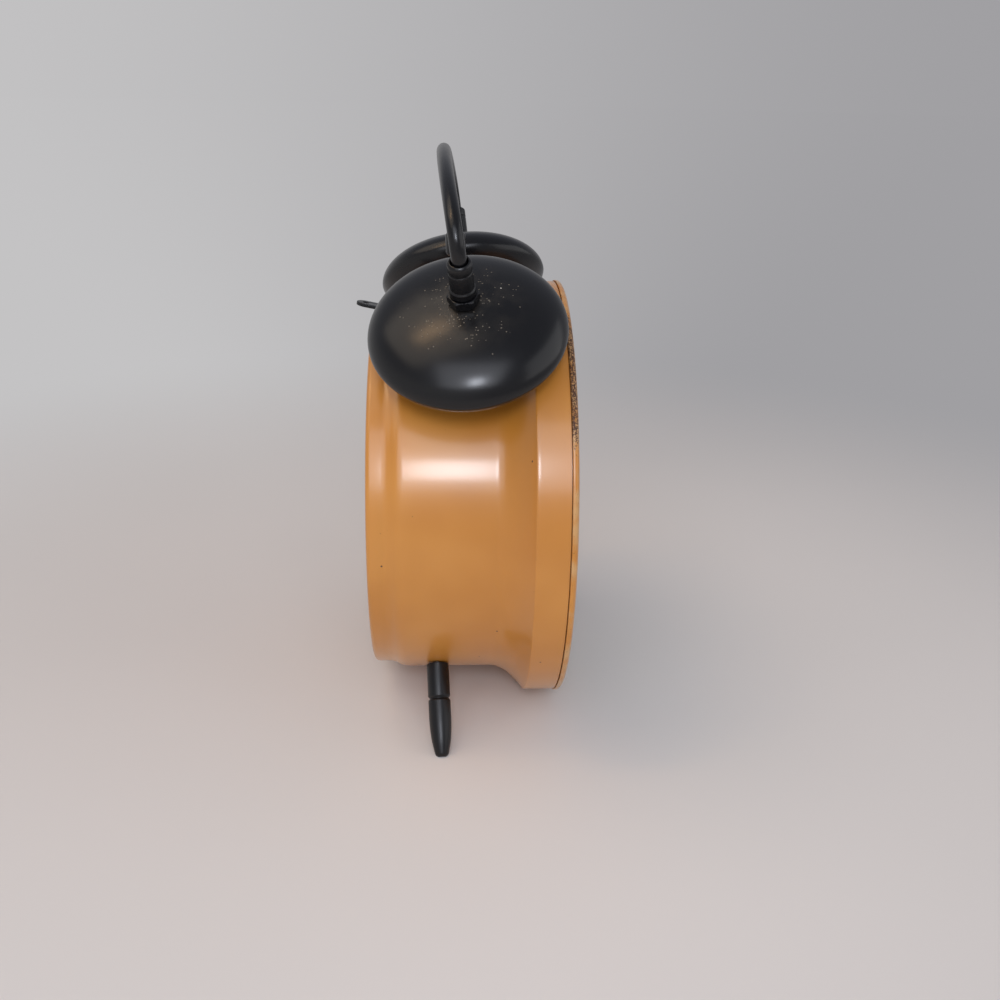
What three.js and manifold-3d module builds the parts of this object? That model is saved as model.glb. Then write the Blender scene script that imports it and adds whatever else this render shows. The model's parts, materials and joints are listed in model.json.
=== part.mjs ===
// Wind-up alarm clock with two bells on its roof and two splayed feet, in millimetres.
// The dial axis runs along Y: depth is counted from the front of the bezel to the back of the case.
// The front faces -Y, +Z is up, and the origin is on the floor below the middle of the clock's box.
import * as THREE from "three";
import { mergeVertices } from "three/addons/utils/BufferGeometryUtils.js";
import Module from "manifold-3d";

const wasm = await Module();
wasm.setup();

// Clearances
const seat = 0.3; // between pieces that rest on each other
const running = 0.25; // round a shaft in its hole
const endShake = 0.4; // between turning pieces along a shaft
const steelWall = 1; // sheet of the case and the bells

// Case and bezel
const bezelRadius = 60;
const bezelDepth = 1.75;
const bezelFace = 5.4; // width of the ring round the window
const bezelEdge = 0.6; // rounding at the window
const bezelShoulder = 1.4; // rounding at the outside
const bezelOverhang = 0.3; // beyond the front band
const collarWall = 1.1;
const collarLength = 2.6;
const bandEnd = 10.4;
const flareEnd = 20.5;
const flareDrop = 6.9; // from the front band down to the waist
const flareHollow = { radius: 1.4, depth: 3 }; // from the waist's start to the flare's control point
const caseDepth = 52.8;
const rearBand = 5.3; // length of the band behind the step
const stepLength = 2.7;
const stepDrop = 1.5; // from the waist down to the rear band
const lipRoll = 1.2;
const caseSides = 40;

// Glass, dial and hands
const glassThickness = 1.4;
const dialThickness = 0.6;
const dialSeatOnFlare = 0.2; // share of the flare's curve at which the dial rests
const spacerWidth = 2.6;
const handThickness = 0.5;
const hourHand = { length: 27, boss: 3.6, blade: 4.4, angle: 305 }; // angles run clockwise from twelve
const minuteHand = { length: 41, boss: 2.6, blade: 3.2, angle: 60 };
const alarmHand = { length: 19, boss: 4.3, blade: 2.4, angle: 195 };
const bladeWidest = 0.6; // share of a hand's length
const handSpacing = 1.9;

// Bells, their posts and the handle
const bellSplay = THREE.MathUtils.degToRad(33.4);
const bellLean = THREE.MathUtils.degToRad(6);
const postBaseDepth = 25.8;
const postDatumDepth = 0.8; // depth of the post's datum point below the roof
const bellRadius = 24.95;
const bellRimRadius = 20.3;
const bellRimHeight = 7.7; // heights along the post are counted from its datum point
const bellWidestHeight = 13.3;
const bellCrownHeight = 23.7;
const bellCurl = 1.5; // power of the curve that draws the rim in
const postRadius = 2;
const postSleeveRadius = 3.2;
const nutAcross = 7;
const nutHeight = 2.4;
const ferruleRadius = 2.95;
const ferruleShoulderRadius = 3.25;
const ferruleShoulderHeight = 1.7;
const ferruleTopHeight = 36.6;
const ferruleEdge = 0.3;
const postInFerrule = 3.4;
const gripRadius = 1.85;
const gripRise = 41.8; // top of the handle's bar above the roof, at its middle
const gripTopDepth = 33.2;
const gripLegPull = 13;
const gripTopPull = 30;

// Feet
const footSplay = THREE.MathUtils.degToRad(40.1);
const footLean = THREE.MathUtils.degToRad(2.96);
const footSetback = 9.8; // foot in front of the step
const footRadius = 3.08;
const footLength = 26;
const footTipRadius = 1.7;
const footTaper = 0.67; // share of the length where the taper starts
const footGroove = { place: 0.38, half: 0.6, depth: 0.45 }; // its place is a share of the length
const footBelly = 0.3; // how far the taper bulges
const studRadius = 1.5;
const studEnd = 1; // thread that shows beyond a nut inside the case

// Hammer and stop lever
const hammerDepth = 30;
const hammerRise = 21.1; // top of the hammer head above the roof
const hammerHeadRadius = 2.75;
const hammerHeadHeight = 6.4;
const hammerHeadEdge = 0.6;
const hammerArmRadius = 0.8;
const hammerSwing = THREE.MathUtils.degToRad(14);
const leverSlope = THREE.MathUtils.degToRad(11);
const leverOverhang = 4.5; // tip of the lever behind the case
const leverLift = 1.1; // middle of the lever above the rear band, where the step ends
const leverSetback = 6.8; // rivet in front of the step
const leverWidth = 5;
const leverThickness = 0.9;
const leverSwing = THREE.MathUtils.degToRad(12);
const leverTail = 4;
const leverTipHole = 0.8;
const rivet = { radius: 0.65, head: 2, headHeight: 0.9 };

// Back plate and what stands on it
const backPlateThickness = 0.8;
const backScrewRadius = 1.2;
const backScrewHeadRadius = 2.5;
const backScrewHeadHeight = 1.2;
const backScrewLength = 7;
const backScrewEdge = 0.5;
const backScrewSlot = { width: 0.7, depth: 0.6 };
const keySpan = 17;
const keyThickness = 1.8;
const keyHeight = 9.2;
const keyHubRadius = 3;
const keyWing = { half: 0.32, inset: 0.25 }; // half height as a share of the key's height
const timeKnob = { radius: 6.5, scallops: 18 };
const alarmKnob = { radius: 5, scallops: 14 };
const knobHeight = 5.2;
const knobCollar = 1.3;
const scallopDepth = 0.45;
const shaftInKnob = 1; // knob left solid behind its shaft
const regulatorReach = 11;
const regulatorRing = 3.2;
const regulatorThickness = 1;
const regulatorSwing = THREE.MathUtils.degToRad(25);

// Movement
const plateRadius = 42;
const plateThickness = 1.2;
const pillarCircle = 38.5;
const pillarRadius = 2.4;
const pillarAngles = [35, 145, 245, 295].map(THREE.MathUtils.degToRad);
const wheelThickness = 0.6;
const greatWheelThickness = 1;
const ratchetRadius = 5;
const ratchetTeeth = 12;
const ratchetThickness = 0.8;
const ratchetTooth = { depth: 1.2, lean: 0.15 };
const springTurns = 4.5;
const springRadius = 15;
const springHeight = 7.2;
const springStrip = 0.5;
const springPostRadius = 1.2;
const springCore = 1.2; // gap between the winding arbor and the inner turn
const springEnds = { time: 250, alarm: 290 }; // degrees, at the posts that hold the outer turns
const windingArborRadius = 1.5;
const windingPivotRadius = 0.9;
const minuteStudRadius = 0.8;
const click = { length: 4.4, half: 1, tipAngle: 20, heelAngle: 55 };
const arborRadius = 0.75;
const pivotRadius = 0.5;
const windingArbors = { spread: 18.5, drop: 10 };
const dialFoot = { circle: 36, radius: 1.5 };
const tubeWall = 0.6;
const hairspringStrip = 0.25;
const bearingBoss = { radius: 1.5, height: 1.7 };
const regulatorTab = { half: 1, thickness: 1, height: 3.4 };
const bedding = 0.5; // how deep a pillar, post or boss sits in its plate

// Teeth of each pair, with the distance of its arbors where that is chosen
const greatPair = { wheel: 36, pinion: 8 };
const centrePair = { wheel: 30, pinion: 6, distance: 16.8 };
const thirdPair = { wheel: 24, pinion: 6, distance: 12 };
const cannonPair = { wheel: 24, pinion: 8, distance: 12 };
const hourPair = { wheel: 32, pinion: 8 };
const alarmSetPair = { wheel: 24, pinion: 6, distance: 16 };
const alarmGreatPair = { wheel: 30, pinion: 6, distance: 18 };
const escapeTeeth = 15;
const escapeRadius = 5.5;
const alarmEscapeTeeth = 12;
const alarmEscapeRadius = 6;
const balanceRadius = 7.5;
const balanceRim = 1.3;
const balanceSpoke = 0.6; // half its width
const rollerRadius = 2;
const hairspringRadius = 4.2;
const hairspringCore = 1.5;
const hairspringTurns = 4;
const hairspringEnd = 200; // degrees

// Where each arbor stands from the one that drives it, in degrees, and how far it clears that one's wheel
const arborAngles = { third: 126.5, escape: 112, pallet: 26, balance: 350, alarmEscape: 100, hammer: 117 };
const palletClear = 3.3;
const balanceClear = 1.1;
const hammerClear = 7.8;

// Arms that reach from a pivot to both sides of a wheel: angle, length and half width
const verge = { spread: 40, reach: 9, half: 0.5 };
const pallets = { spread: 48, reach: 5.8, half: 0.35 };
const fork = { spread: 0, reach: 5.6, half: 0.5 };

// Finishes: each mesh gets a material of its own
const finish = (color, roughness, metalness, extra = {}) => () =>
  new THREE.MeshStandardMaterial({ color, roughness, metalness, ...extra });
const mustardEnamel = finish("#c98a45", 0.28, 0);
const blackEnamel = finish("#141518", 0.35, 0.1);
const glossBlack = finish("#101113", 0.2, 0.2);
const brass = finish("#b8934a", 0.35, 1);
const steel = finish("#9a9ca0", 0.35, 1);
const blueSteel = finish("#2b3248", 0.3, 1);
const dialPaper = finish("#ece4cf", 0.7, 0);
const clearGlass = finish("#eef2f2", 0.05, 0, { transparent: true, opacity: 0.2 });

// Measurements that follow from the sizes above
const axisHeight = bezelRadius;
const windowRadius = bezelRadius - bezelFace;
const bandRadius = bezelRadius - bezelOverhang;
const waistRadius = bandRadius - flareDrop;
const rearRadius = waistRadius - stepDrop;
const stepEnd = caseDepth - rearBand;
const stepStart = stepEnd - stepLength;
const postBaseRadius = waistRadius - postDatumDepth;
const footDepth = stepStart - footSetback;
const leverPivotDepth = stepStart - leverSetback;
const leverTipDepth = caseDepth + leverOverhang;
const leverPivotHeight =
  rearRadius + leverLift - (stepEnd - leverPivotDepth) * Math.tan(leverSlope);
const overallDepth = leverTipDepth + (leverThickness / 2) * Math.sin(leverSlope);
const flareCurve = new THREE.QuadraticBezierCurve(
  new THREE.Vector2(bandRadius, bandEnd),
  new THREE.Vector2(waistRadius + flareHollow.radius, flareEnd - flareHollow.depth),
  new THREE.Vector2(waistRadius, flareEnd),
);
const dialSeatPoint = flareCurve.getPoint(dialSeatOnFlare);
const dialRadius = dialSeatPoint.x - steelWall - seat;
const dialBack = dialSeatPoint.y;
const dialFront = dialBack - dialThickness;
const glassFront = bezelDepth - seat;
const glassBack = glassFront + glassThickness;
const glassRadius = bandRadius - steelWall - collarWall - 2 * seat;

// Depths of the movement, from the dial to the back plate
const alarmWheelFront = dialBack + endShake;
const hourWheelFront = alarmWheelFront + wheelThickness + endShake;
const minuteWheelFront = hourWheelFront + wheelThickness + endShake;
const frontPlateFront = minuteWheelFront + wheelThickness + endShake;
const frontPlateBack = frontPlateFront + plateThickness;
const greatWheelFront = frontPlateBack + 2 * endShake;
const greatWheelBack = greatWheelFront + greatWheelThickness;
const ratchetFront = greatWheelBack + endShake;
const ratchetBack = ratchetFront + ratchetThickness;
const springFront = ratchetBack + endShake;
const springBack = springFront + springHeight;
const alarmEscapeFront = Math.max(hammerDepth - wheelThickness / 2, springBack + endShake);
const hammerPlaneBack = Math.max(alarmEscapeFront + wheelThickness, hammerDepth + hammerArmRadius);
const centreWheelFront = hammerPlaneBack + endShake;
const rearPlateFront = centreWheelFront + wheelThickness + 2 * endShake;
const rearPlateBack = rearPlateFront + plateThickness;
const backPlateBack = stepStart - 2 * seat;
const backPlateFront = backPlateBack - backPlateThickness;

// Depths of the hands, from the dial forward
const alarmHandBack = dialFront - endShake;
const hourHandBack = alarmHandBack - handSpacing;
const minuteHandBack = hourHandBack - handSpacing;

// Centres of the arbors, seen from the front: x to the right, y up
const centre = new THREE.Vector2(0, 0);
const toward = (from, distance, degrees) =>
  new THREE.Vector2(distance, 0).rotateAround(centre, THREE.MathUtils.degToRad(degrees)).add(from);
const timeArbor = new THREE.Vector2(-windingArbors.spread, -windingArbors.drop);
const alarmArbor = new THREE.Vector2(windingArbors.spread, -windingArbors.drop);
const minuteArbor = toward(centre, cannonPair.distance, 90);
const alarmSetArbor = toward(centre, alarmSetPair.distance, 270);
const thirdArbor = toward(centre, centrePair.distance, arborAngles.third);
const escapeArbor = toward(thirdArbor, thirdPair.distance, arborAngles.escape);
const palletArbor = toward(escapeArbor, escapeRadius + palletClear, arborAngles.pallet);
const balanceStaff = toward(palletArbor, balanceRadius + balanceClear, arborAngles.balance);
const alarmEscapeArbor = toward(alarmArbor, alarmGreatPair.distance, arborAngles.alarmEscape);
const hammerArbor = toward(alarmEscapeArbor, alarmEscapeRadius + hammerClear, arborAngles.hammer);
const windingSides = [
  { name: "time", at: timeArbor, hand: 1 },
  { name: "alarm", at: alarmArbor, hand: -1 },
];

// A closed geometry as a solid that can be joined and cut
function solidOf(geometry) {
  const bare = geometry.clone();
  bare.deleteAttribute("normal");
  bare.deleteAttribute("uv");
  const merged = mergeVertices(bare, 1e-4);
  return new wasm.Manifold(
    new wasm.Mesh({
      numProp: 3,
      vertProperties: merged.attributes.position.array,
      triVerts: new Uint32Array(merged.index.array),
    }),
  );
}

// A solid as a geometry that a mesh can hold
function geometryOf(solid) {
  const { vertProperties, triVerts } = solid.getMesh();
  const geometry = new THREE.BufferGeometry();
  geometry.setAttribute("position", new THREE.BufferAttribute(vertProperties, 3));
  geometry.setIndex(new THREE.BufferAttribute(triVerts, 1));
  geometry.computeVertexNormals();
  return geometry;
}

const joined = (...geometries) =>
  geometryOf(geometries.map(solidOf).reduce((whole, piece) => whole.add(piece)));
const cut = (body, ...tools) =>
  geometryOf(tools.map(solidOf).reduce((left, tool) => left.subtract(tool), solidOf(body)));

// A body turned about Y from pairs of radius and depth, on the axis at both ends or closed in a ring
function turned(profile, sides) {
  const points = profile.map(([radius, depth]) => new THREE.Vector2(radius, depth));
  if (THREE.ShapeUtils.area(points) < 0) points.reverse();
  if (points.every((point) => point.x > 0)) points.push(points[0].clone());
  return new THREE.LatheGeometry(points, sides);
}

const disc = (radius, front, back, sides, hole = 0) =>
  turned([[hole, front], [radius, front], [radius, back], [hole, back]], sides);

// A round bar parallel to the dial axis
function bar(radius, front, back, at = centre, sides = 8) {
  return new THREE.CylinderGeometry(radius, radius, back - front, sides).translate(
    at.x,
    (front + back) / 2,
    at.y,
  );
}

function circlePoints(radius, sides, at = centre, start = 0) {
  return Array.from({ length: sides }, (_, i) =>
    toward(at, radius, start + (360 * i) / sides),
  );
}

const hole = (radius, at, sides = 8) => new THREE.Path(circlePoints(radius, sides, at));

// A sheet cut to a shape seen from the front, between two depths
function sheet(shape, front, back) {
  const plain = { depth: back - front, bevelEnabled: false, curveSegments: 4 };
  return new THREE.ExtrudeGeometry(shape, plain).rotateX(Math.PI / 2).translate(0, back, 0);
}

// The outline of a wheel with pointed teeth, one of them centred at the angle phase.
// Roots and tips stand off the pitch circle in modules, and a root's half width is a share of the pitch.
const tooth = { root: 0.95, tip: 0.75, rootHalf: 0.3 };

function toothedShape(teeth, pitchRadius, phase, at = centre) {
  const module = (2 * pitchRadius) / teeth;
  const step = (2 * Math.PI) / teeth;
  const corners = [[-tooth.root, -tooth.rootHalf], [tooth.tip, 0], [-tooth.root, tooth.rootHalf]];
  const points = Array.from({ length: teeth }, (_, i) =>
    corners.map(([radius, offset]) =>
      new THREE.Vector2(pitchRadius + radius * module, 0)
        .rotateAround(centre, phase + (i + offset) * step)
        .add(at),
    ),
  );
  return new THREE.Shape(points.flat());
}

// The two outlines of a pair in mesh, the wheel round one centre and the pinion round the other
function meshedPair({ wheel, pinion }, wheelAt, pinionAt) {
  const line = pinionAt.clone().sub(wheelAt);
  const pitchRadius = (teeth) => (teeth * line.length()) / (wheel + pinion);
  const facing = line.angle() + Math.PI + Math.PI / pinion; // a gap faces a tooth of the wheel
  return {
    wheel: toothedShape(wheel, pitchRadius(wheel), line.angle(), wheelAt),
    pinion: toothedShape(pinion, pitchRadius(pinion), facing, pinionAt),
  };
}

const alarmClock = new THREE.Group();
const clock = new THREE.Group();
clock.position.set(0, -overallDepth / 2, axisHeight);
alarmClock.add(clock);

function addPiece(name, geometry, makeMaterial, group = clock) {
  const piece = new THREE.Mesh(geometry, makeMaterial());
  piece.name = name;
  group.add(piece);
  return piece;
}

// A group whose Y axis leaves the case along a direction, from a datum point
function standOff(point, direction) {
  const group = new THREE.Group();
  group.position.copy(point);
  group.quaternion.setFromUnitVectors(new THREE.Vector3(0, 1, 0), direction);
  group.updateMatrix();
  clock.add(group);
  return group;
}

// The direction that leaves the dial axis at an angle from a vertical and leans back
function splayed(angle, lean, side, vertical) {
  return new THREE.Vector3(
    side * Math.sin(angle) * Math.cos(lean),
    Math.sin(lean),
    vertical * Math.cos(angle) * Math.cos(lean),
  );
}

const sides = [["left", -1], ["right", 1]];
const postGroups = sides.map(([, side]) =>
  standOff(
    new THREE.Vector3(
      side * postBaseRadius * Math.sin(bellSplay),
      postBaseDepth,
      postBaseRadius * Math.cos(bellSplay),
    ),
    splayed(bellSplay, bellLean, side, 1),
  ),
);
const footGroups = sides.map(([, side]) =>
  standOff(
    new THREE.Vector3(
      side * waistRadius * Math.sin(footSplay),
      footDepth,
      -waistRadius * Math.cos(footSplay),
    ),
    splayed(footSplay, -footLean, side, -1),
  ),
);

const hexagon = (across, bottom, top, bore) => {
  const ring = new THREE.Shape(circlePoints(across / 2 / Math.cos(Math.PI / 6), 6));
  ring.holes.push(hole(bore, centre, 10));
  return sheet(ring, bottom, top);
};

// The stop lever's group: its Y axis runs up the sloping strip from the rivet
const leverGroup = new THREE.Group();
leverGroup.position.set(0, leverPivotDepth, leverPivotHeight);
leverGroup.rotation.x = leverSlope;
leverGroup.updateMatrix();
clock.add(leverGroup);

// Case: one sheet-steel drum with a rolled rear lip
const lipCentre = new THREE.Vector2(rearRadius - lipRoll, caseDepth - lipRoll);
const caseSkin = (inset, count) => [
  ...flareCurve.getPoints(count).map(({ x, y }) => [x - inset, y]),
  [waistRadius - inset, stepStart],
  [rearRadius - inset, stepEnd],
];
const caseProfile = [
  [bandRadius, bezelDepth + seat],
  ...caseSkin(0, 5),
  ...[0, 45, 90, 135, 180].map((angle) => toward(lipCentre, lipRoll, angle).toArray()),
  [rearRadius - 2 * lipRoll, caseDepth - 1.6 * lipRoll],
  [rearRadius - steelWall, caseDepth - 2 * lipRoll],
  ...caseSkin(steelWall, 4).reverse(),
  [bandRadius - steelWall, bezelDepth + seat],
];

const box = (x, y, z) =>
  new THREE.BoxGeometry(x[1] - x[0], y[1] - y[0], z[1] - z[0]).translate(
    (x[0] + x[1]) / 2,
    (y[0] + y[1]) / 2,
    (z[0] + z[1]) / 2,
  );
const roofAbove = [waistRadius - 3 * steelWall, waistRadius + 3 * steelWall];

// Slot for the hammer arm: where the arm crosses the roof at the ends of its swing, and its own width
const hammerHeadCentre = new THREE.Vector2(0, waistRadius + hammerRise - hammerHeadHeight / 2);
const hammerLine = hammerHeadCentre.clone().sub(hammerArbor);
const armCrossings = [-hammerSwing, hammerSwing].map((swing) => {
  const direction = hammerLine.clone().rotateAround(centre, swing);
  return hammerArbor.x + ((waistRadius - hammerArbor.y) * direction.x) / direction.y;
});
const slotMargin = hammerArmRadius + 2 * seat;
const hammerSlot = box(
  [Math.min(...armCrossings) - slotMargin, Math.max(...armCrossings) + slotMargin],
  [hammerDepth - slotMargin, hammerDepth + slotMargin],
  [waistRadius - 4 * steelWall, waistRadius + 2 * steelWall],
);

// Slot for the stop lever, from where it nears the roof to the end of the step
const leverReach = (leverTipDepth - leverPivotDepth) / Math.cos(leverSlope);
const leverUnderRoof = waistRadius - steelWall - leverThickness / 2 - 2 * seat;
const leverSlotStart = leverPivotDepth + (leverUnderRoof - leverPivotHeight) / Math.tan(leverSlope);
const leverSlotHalf =
  leverWidth / 2 + 2 * seat + (stepEnd - leverPivotDepth) * Math.sin(leverSwing);
const leverSlot = box(
  [-leverSlotHalf, leverSlotHalf],
  [leverSlotStart, stepEnd + seat],
  roofAbove,
);

const studHole = (group, radius) =>
  new THREE.CylinderGeometry(radius, radius, 6 * steelWall, 12).applyMatrix4(group.matrix);
const upright = (geometry) => geometry.rotateX(Math.PI / 2).translate(0, leverPivotDepth, 0);
const rivetHole = upright(bar(rivet.radius + running, ...roofAbove));

function makeCase() {
  const shell = cut(
    turned(caseProfile, caseSides),
    ...postGroups.map((group) => studHole(group, postRadius + seat)),
    ...footGroups.map((group) => studHole(group, studRadius + seat)),
    hammerSlot,
    leverSlot,
    rivetHole,
  );
  addPiece("case_shell", shell, mustardEnamel);
}

// Bezel ring: a rounded rim, a lip over the glass and a collar that slips into the front band
function makeFront() {
  const collar = bandRadius - steelWall - seat;
  const collarInside = glassRadius + seat;
  const collarEnd = bezelDepth + collarLength;
  const lipBack = glassFront - seat;
  const rim = [
    [windowRadius, lipBack],
    [windowRadius, bezelEdge],
    [windowRadius + bezelEdge, bezelEdge / 4],
    [bezelRadius - bezelShoulder, 0],
    [bezelRadius - 0.3 * bezelShoulder, 0.2 * bezelShoulder],
    [bezelRadius, 0.6 * bezelShoulder],
    [bezelRadius, bezelDepth],
    [collar, bezelDepth],
    [collar, collarEnd],
    [collarInside, collarEnd],
    [collarInside, lipBack],
  ];
  addPiece("bezel_ring", turned(rim, caseSides), mustardEnamel);
  addPiece("glass", disc(glassRadius, glassFront, glassBack, caseSides), clearGlass);
  const spacerFront = glassRadius - 2 * seat;
  const spacer = [
    [spacerFront, glassBack + seat],
    [spacerFront, collarEnd + seat],
    [dialRadius, dialFront - seat],
    [dialRadius - 2 * spacerWidth, dialFront - seat],
    [spacerFront - spacerWidth, glassBack + seat],
  ];
  addPiece("dial_spacer", turned(spacer, caseSides), brass);
}

// Dial with three feet that stand on the front movement plate
const hourTubeInside = arborRadius + 3 * running;
const hourTubeOutside = hourTubeInside + tubeWall;
const alarmTubeInside = hourTubeOutside + running;
const alarmTubeOutside = alarmTubeInside + tubeWall;

function makeDial() {
  const feet = circlePoints(dialFoot.circle, 3, centre, 90).map((at) =>
    bar(dialFoot.radius, dialBack - dialThickness / 2, frontPlateFront - seat, at),
  );
  const face = disc(dialRadius, dialFront, dialBack, caseSides, alarmTubeOutside + running);
  addPiece("dial", joined(face, ...feet), dialPaper);
}

// A leaf-shaped hand whose blade points at its angle
function handShape({ length, boss, blade, angle }, bore) {
  const round = circlePoints(boss, 12, centre, 90 + 180 / 12); // starts and ends beside the blade
  const widest = length * bladeWidest;
  const tip = [[blade / 2, widest], [0, length], [-blade / 2, widest]];
  const outline = [...round, ...tip.map(([x, y]) => new THREE.Vector2(x, y))];
  const turn = -THREE.MathUtils.degToRad(angle);
  const shape = new THREE.Shape(outline.map((point) => point.rotateAround(centre, turn)));
  shape.holes.push(hole(bore, centre, 10));
  return shape;
}

function makeHands() {
  const hands = [
    ["hour_hand", hourHand, hourTubeOutside, hourHandBack, glossBlack],
    ["minute_hand", minuteHand, arborRadius, minuteHandBack, glossBlack],
    ["alarm_hand", alarmHand, alarmTubeOutside, alarmHandBack, brass],
  ];
  for (const [name, hand, shaft, back, coat] of hands)
    addPiece(name, sheet(handShape(hand, shaft + running), back - handThickness, back), coat);
}

// Bells: a quarter ellipse whose rim curls in below its widest circle
function bellSkin(inset) {
  const rim = [1, 0.65, 0.3].map((share) => [
    bellRadius - inset - (bellRadius - bellRimRadius) * share ** bellCurl,
    bellWidestHeight - (bellWidestHeight - bellRimHeight) * share,
  ]);
  const dome = [0, 18, 36, 52, 66, 78].map((degrees) => {
    const angle = THREE.MathUtils.degToRad(degrees);
    return [
      (bellRadius - inset) * Math.cos(angle),
      bellWidestHeight + (bellCrownHeight - bellWidestHeight - inset) * Math.sin(angle),
    ];
  });
  return [...rim, ...dome, [postRadius + seat, bellCrownHeight - inset]];
}

const sleeveStart = waistRadius - postBaseRadius + postSleeveRadius * Math.tan(bellLean) + seat / 2;
const innerCrown = bellCrownHeight - steelWall;
const nutStart = bellCrownHeight + seat;
const ferruleStart = nutStart + nutHeight + seat;
const postTop = ferruleStart + postInFerrule;
const gripBore = gripRadius + seat;
const gripBoreStart = postTop + steelWall;
const gripStart = gripBoreStart + seat;

// The inside nuts sit below the roof by what its curve and the lean take from their corners
function lockNutTop(radius, lean) {
  const corner = nutAcross / 2 / Math.cos(Math.PI / 6);
  return radius - steelWall - corner ** 2 / (2 * waistRadius) - corner * Math.tan(lean) - seat / 2;
}

function makeBells() {
  const postLockTop = lockNutTop(waistRadius - postBaseRadius, bellLean);
  const post = [
    [0, postLockTop - nutHeight - studEnd],
    [postRadius, postLockTop - nutHeight - studEnd],
    [postRadius, sleeveStart],
    [postSleeveRadius, sleeveStart],
    [postSleeveRadius, innerCrown - seat],
    [postRadius, innerCrown - seat],
    [postRadius, postTop],
    [0, postTop],
  ];
  const ferrule = [
    [0, postTop + seat],
    [postRadius + seat, postTop + seat],
    [postRadius + seat, ferruleStart],
    [ferruleShoulderRadius, ferruleStart],
    [ferruleShoulderRadius, ferruleStart + ferruleShoulderHeight],
    [ferruleRadius, ferruleStart + ferruleShoulderHeight + ferruleEdge],
    [ferruleRadius, ferruleTopHeight - ferruleEdge],
    [ferruleRadius - ferruleEdge, ferruleTopHeight],
    [gripBore, ferruleTopHeight],
    [gripBore, gripBoreStart],
    [0, gripBoreStart],
  ];
  sides.forEach(([side], i) => {
    const group = postGroups[i];
    const shell = turned([...bellSkin(0), ...bellSkin(steelWall).reverse()], 28);
    const nutOnPost = (top) => hexagon(nutAcross, top - nutHeight, top, postRadius + seat);
    addPiece(`bell_${side}`, shell, blackEnamel, group);
    addPiece(`bell_post_${side}`, turned(post, 12), steel, group);
    addPiece(`bell_nut_${side}`, nutOnPost(nutStart + nutHeight), glossBlack, group);
    addPiece(`bell_lock_nut_${side}`, nutOnPost(postLockTop), steel, group);
    addPiece(`ferrule_${side}`, turned(ferrule, 14), glossBlack, group);
  });
}

// Handle: a round bar that leaves each ferrule along its post and arches over the bells
function makeHandle() {
  const onPost = (group, height) => new THREE.Vector3(0, height, 0).applyMatrix4(group.matrix);
  const [left, right] = postGroups.map((group) => ({
    foot: onPost(group, gripStart),
    leg: onPost(group, ferruleTopHeight),
    pull: onPost(group, ferruleTopHeight + gripLegPull),
  }));
  const top = new THREE.Vector3(0, gripTopDepth, waistRadius + gripRise);
  const pullOver = (side) => top.clone().setX(side * gripTopPull);
  const path = new THREE.CurvePath();
  path.add(new THREE.LineCurve3(left.foot, left.leg));
  path.add(new THREE.CubicBezierCurve3(left.leg, left.pull, pullOver(-1), top));
  path.add(new THREE.CubicBezierCurve3(top, pullOver(1), right.pull, right.leg));
  path.add(new THREE.LineCurve3(right.leg, right.foot));
  const section = new THREE.Shape(circlePoints(gripRadius, 10));
  const grip = new THREE.ExtrudeGeometry(section, { steps: 32, extrudePath: path });
  addPiece("handle", grip, glossBlack);
}

// Feet: a grooved and tapered pin with a threaded stud, its tip cut flat on the floor
function makeFeet() {
  const start = footRadius * Math.tan(footLean) + seat / 2;
  const nutTop = lockNutTop(0, footLean);
  const groove = start + (footLength - start) * footGroove.place;
  const taper = start + (footLength - start) * footTaper;
  const profile = [
    [0, nutTop - nutHeight - studEnd],
    [studRadius, nutTop - nutHeight - studEnd],
    [studRadius, start],
    [footRadius, start],
    [footRadius, groove - footGroove.half],
    [footRadius - footGroove.depth, groove],
    [footRadius, groove + footGroove.half],
    [footRadius, taper],
    [(footRadius + footTipRadius) / 2 + footBelly, (taper + footLength) / 2],
    [footTipRadius, footLength],
    [0, footLength],
  ];
  const belowFloor = box(
    [-2 * waistRadius, 2 * waistRadius],
    [0, caseDepth],
    [-axisHeight - footLength, -axisHeight],
  );
  sides.forEach(([side], i) => {
    const pin = turned(profile, 16).applyMatrix4(footGroups[i].matrix);
    const nut = hexagon(nutAcross, nutTop - nutHeight, nutTop, studRadius + seat);
    addPiece(`foot_${side}`, cut(pin, belowFloor), blackEnamel);
    addPiece(`foot_nut_${side}`, nut, steel, footGroups[i]);
  });
}

// A geometry with its Y axis laid along a direction in the plane of one depth
function laidAlong(geometry, middle, direction, depth) {
  const turn = new THREE.Quaternion().setFromUnitVectors(
    new THREE.Vector3(0, 1, 0),
    new THREE.Vector3(direction.x, 0, direction.y).normalize(),
  );
  return geometry.applyQuaternion(turn).translate(middle.x, depth, middle.y);
}

// An arbor between the movement plates, with a thin pivot in each
function pivoted(at, radius = arborRadius, pivot = pivotRadius) {
  return turned(
    [
      [0, frontPlateFront + running],
      [pivot, frontPlateFront + running],
      [pivot, frontPlateBack + running],
      [radius, frontPlateBack + running],
      [radius, rearPlateFront - running],
      [pivot, rearPlateFront - running],
      [pivot, rearPlateBack - running],
      [0, rearPlateBack - running],
    ],
    8,
  ).translate(at.x, 0, at.y);
}

// Arms that reach from a pivot toward a wheel, spread to both sides of the line between them
function arms(from, to, { spread, reach, half }, front) {
  const line = THREE.MathUtils.radToDeg(to.clone().sub(from).angle());
  return [-spread, spread].map((offset) => {
    const end = toward(from, reach, line + offset);
    const across = toward(centre, half, line + offset + 90);
    const corners = [
      from.clone().sub(across),
      end.clone().sub(across),
      end.clone().add(across),
      from.clone().add(across),
    ];
    return sheet(new THREE.Shape(corners), front, front + wheelThickness);
  });
}

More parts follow.
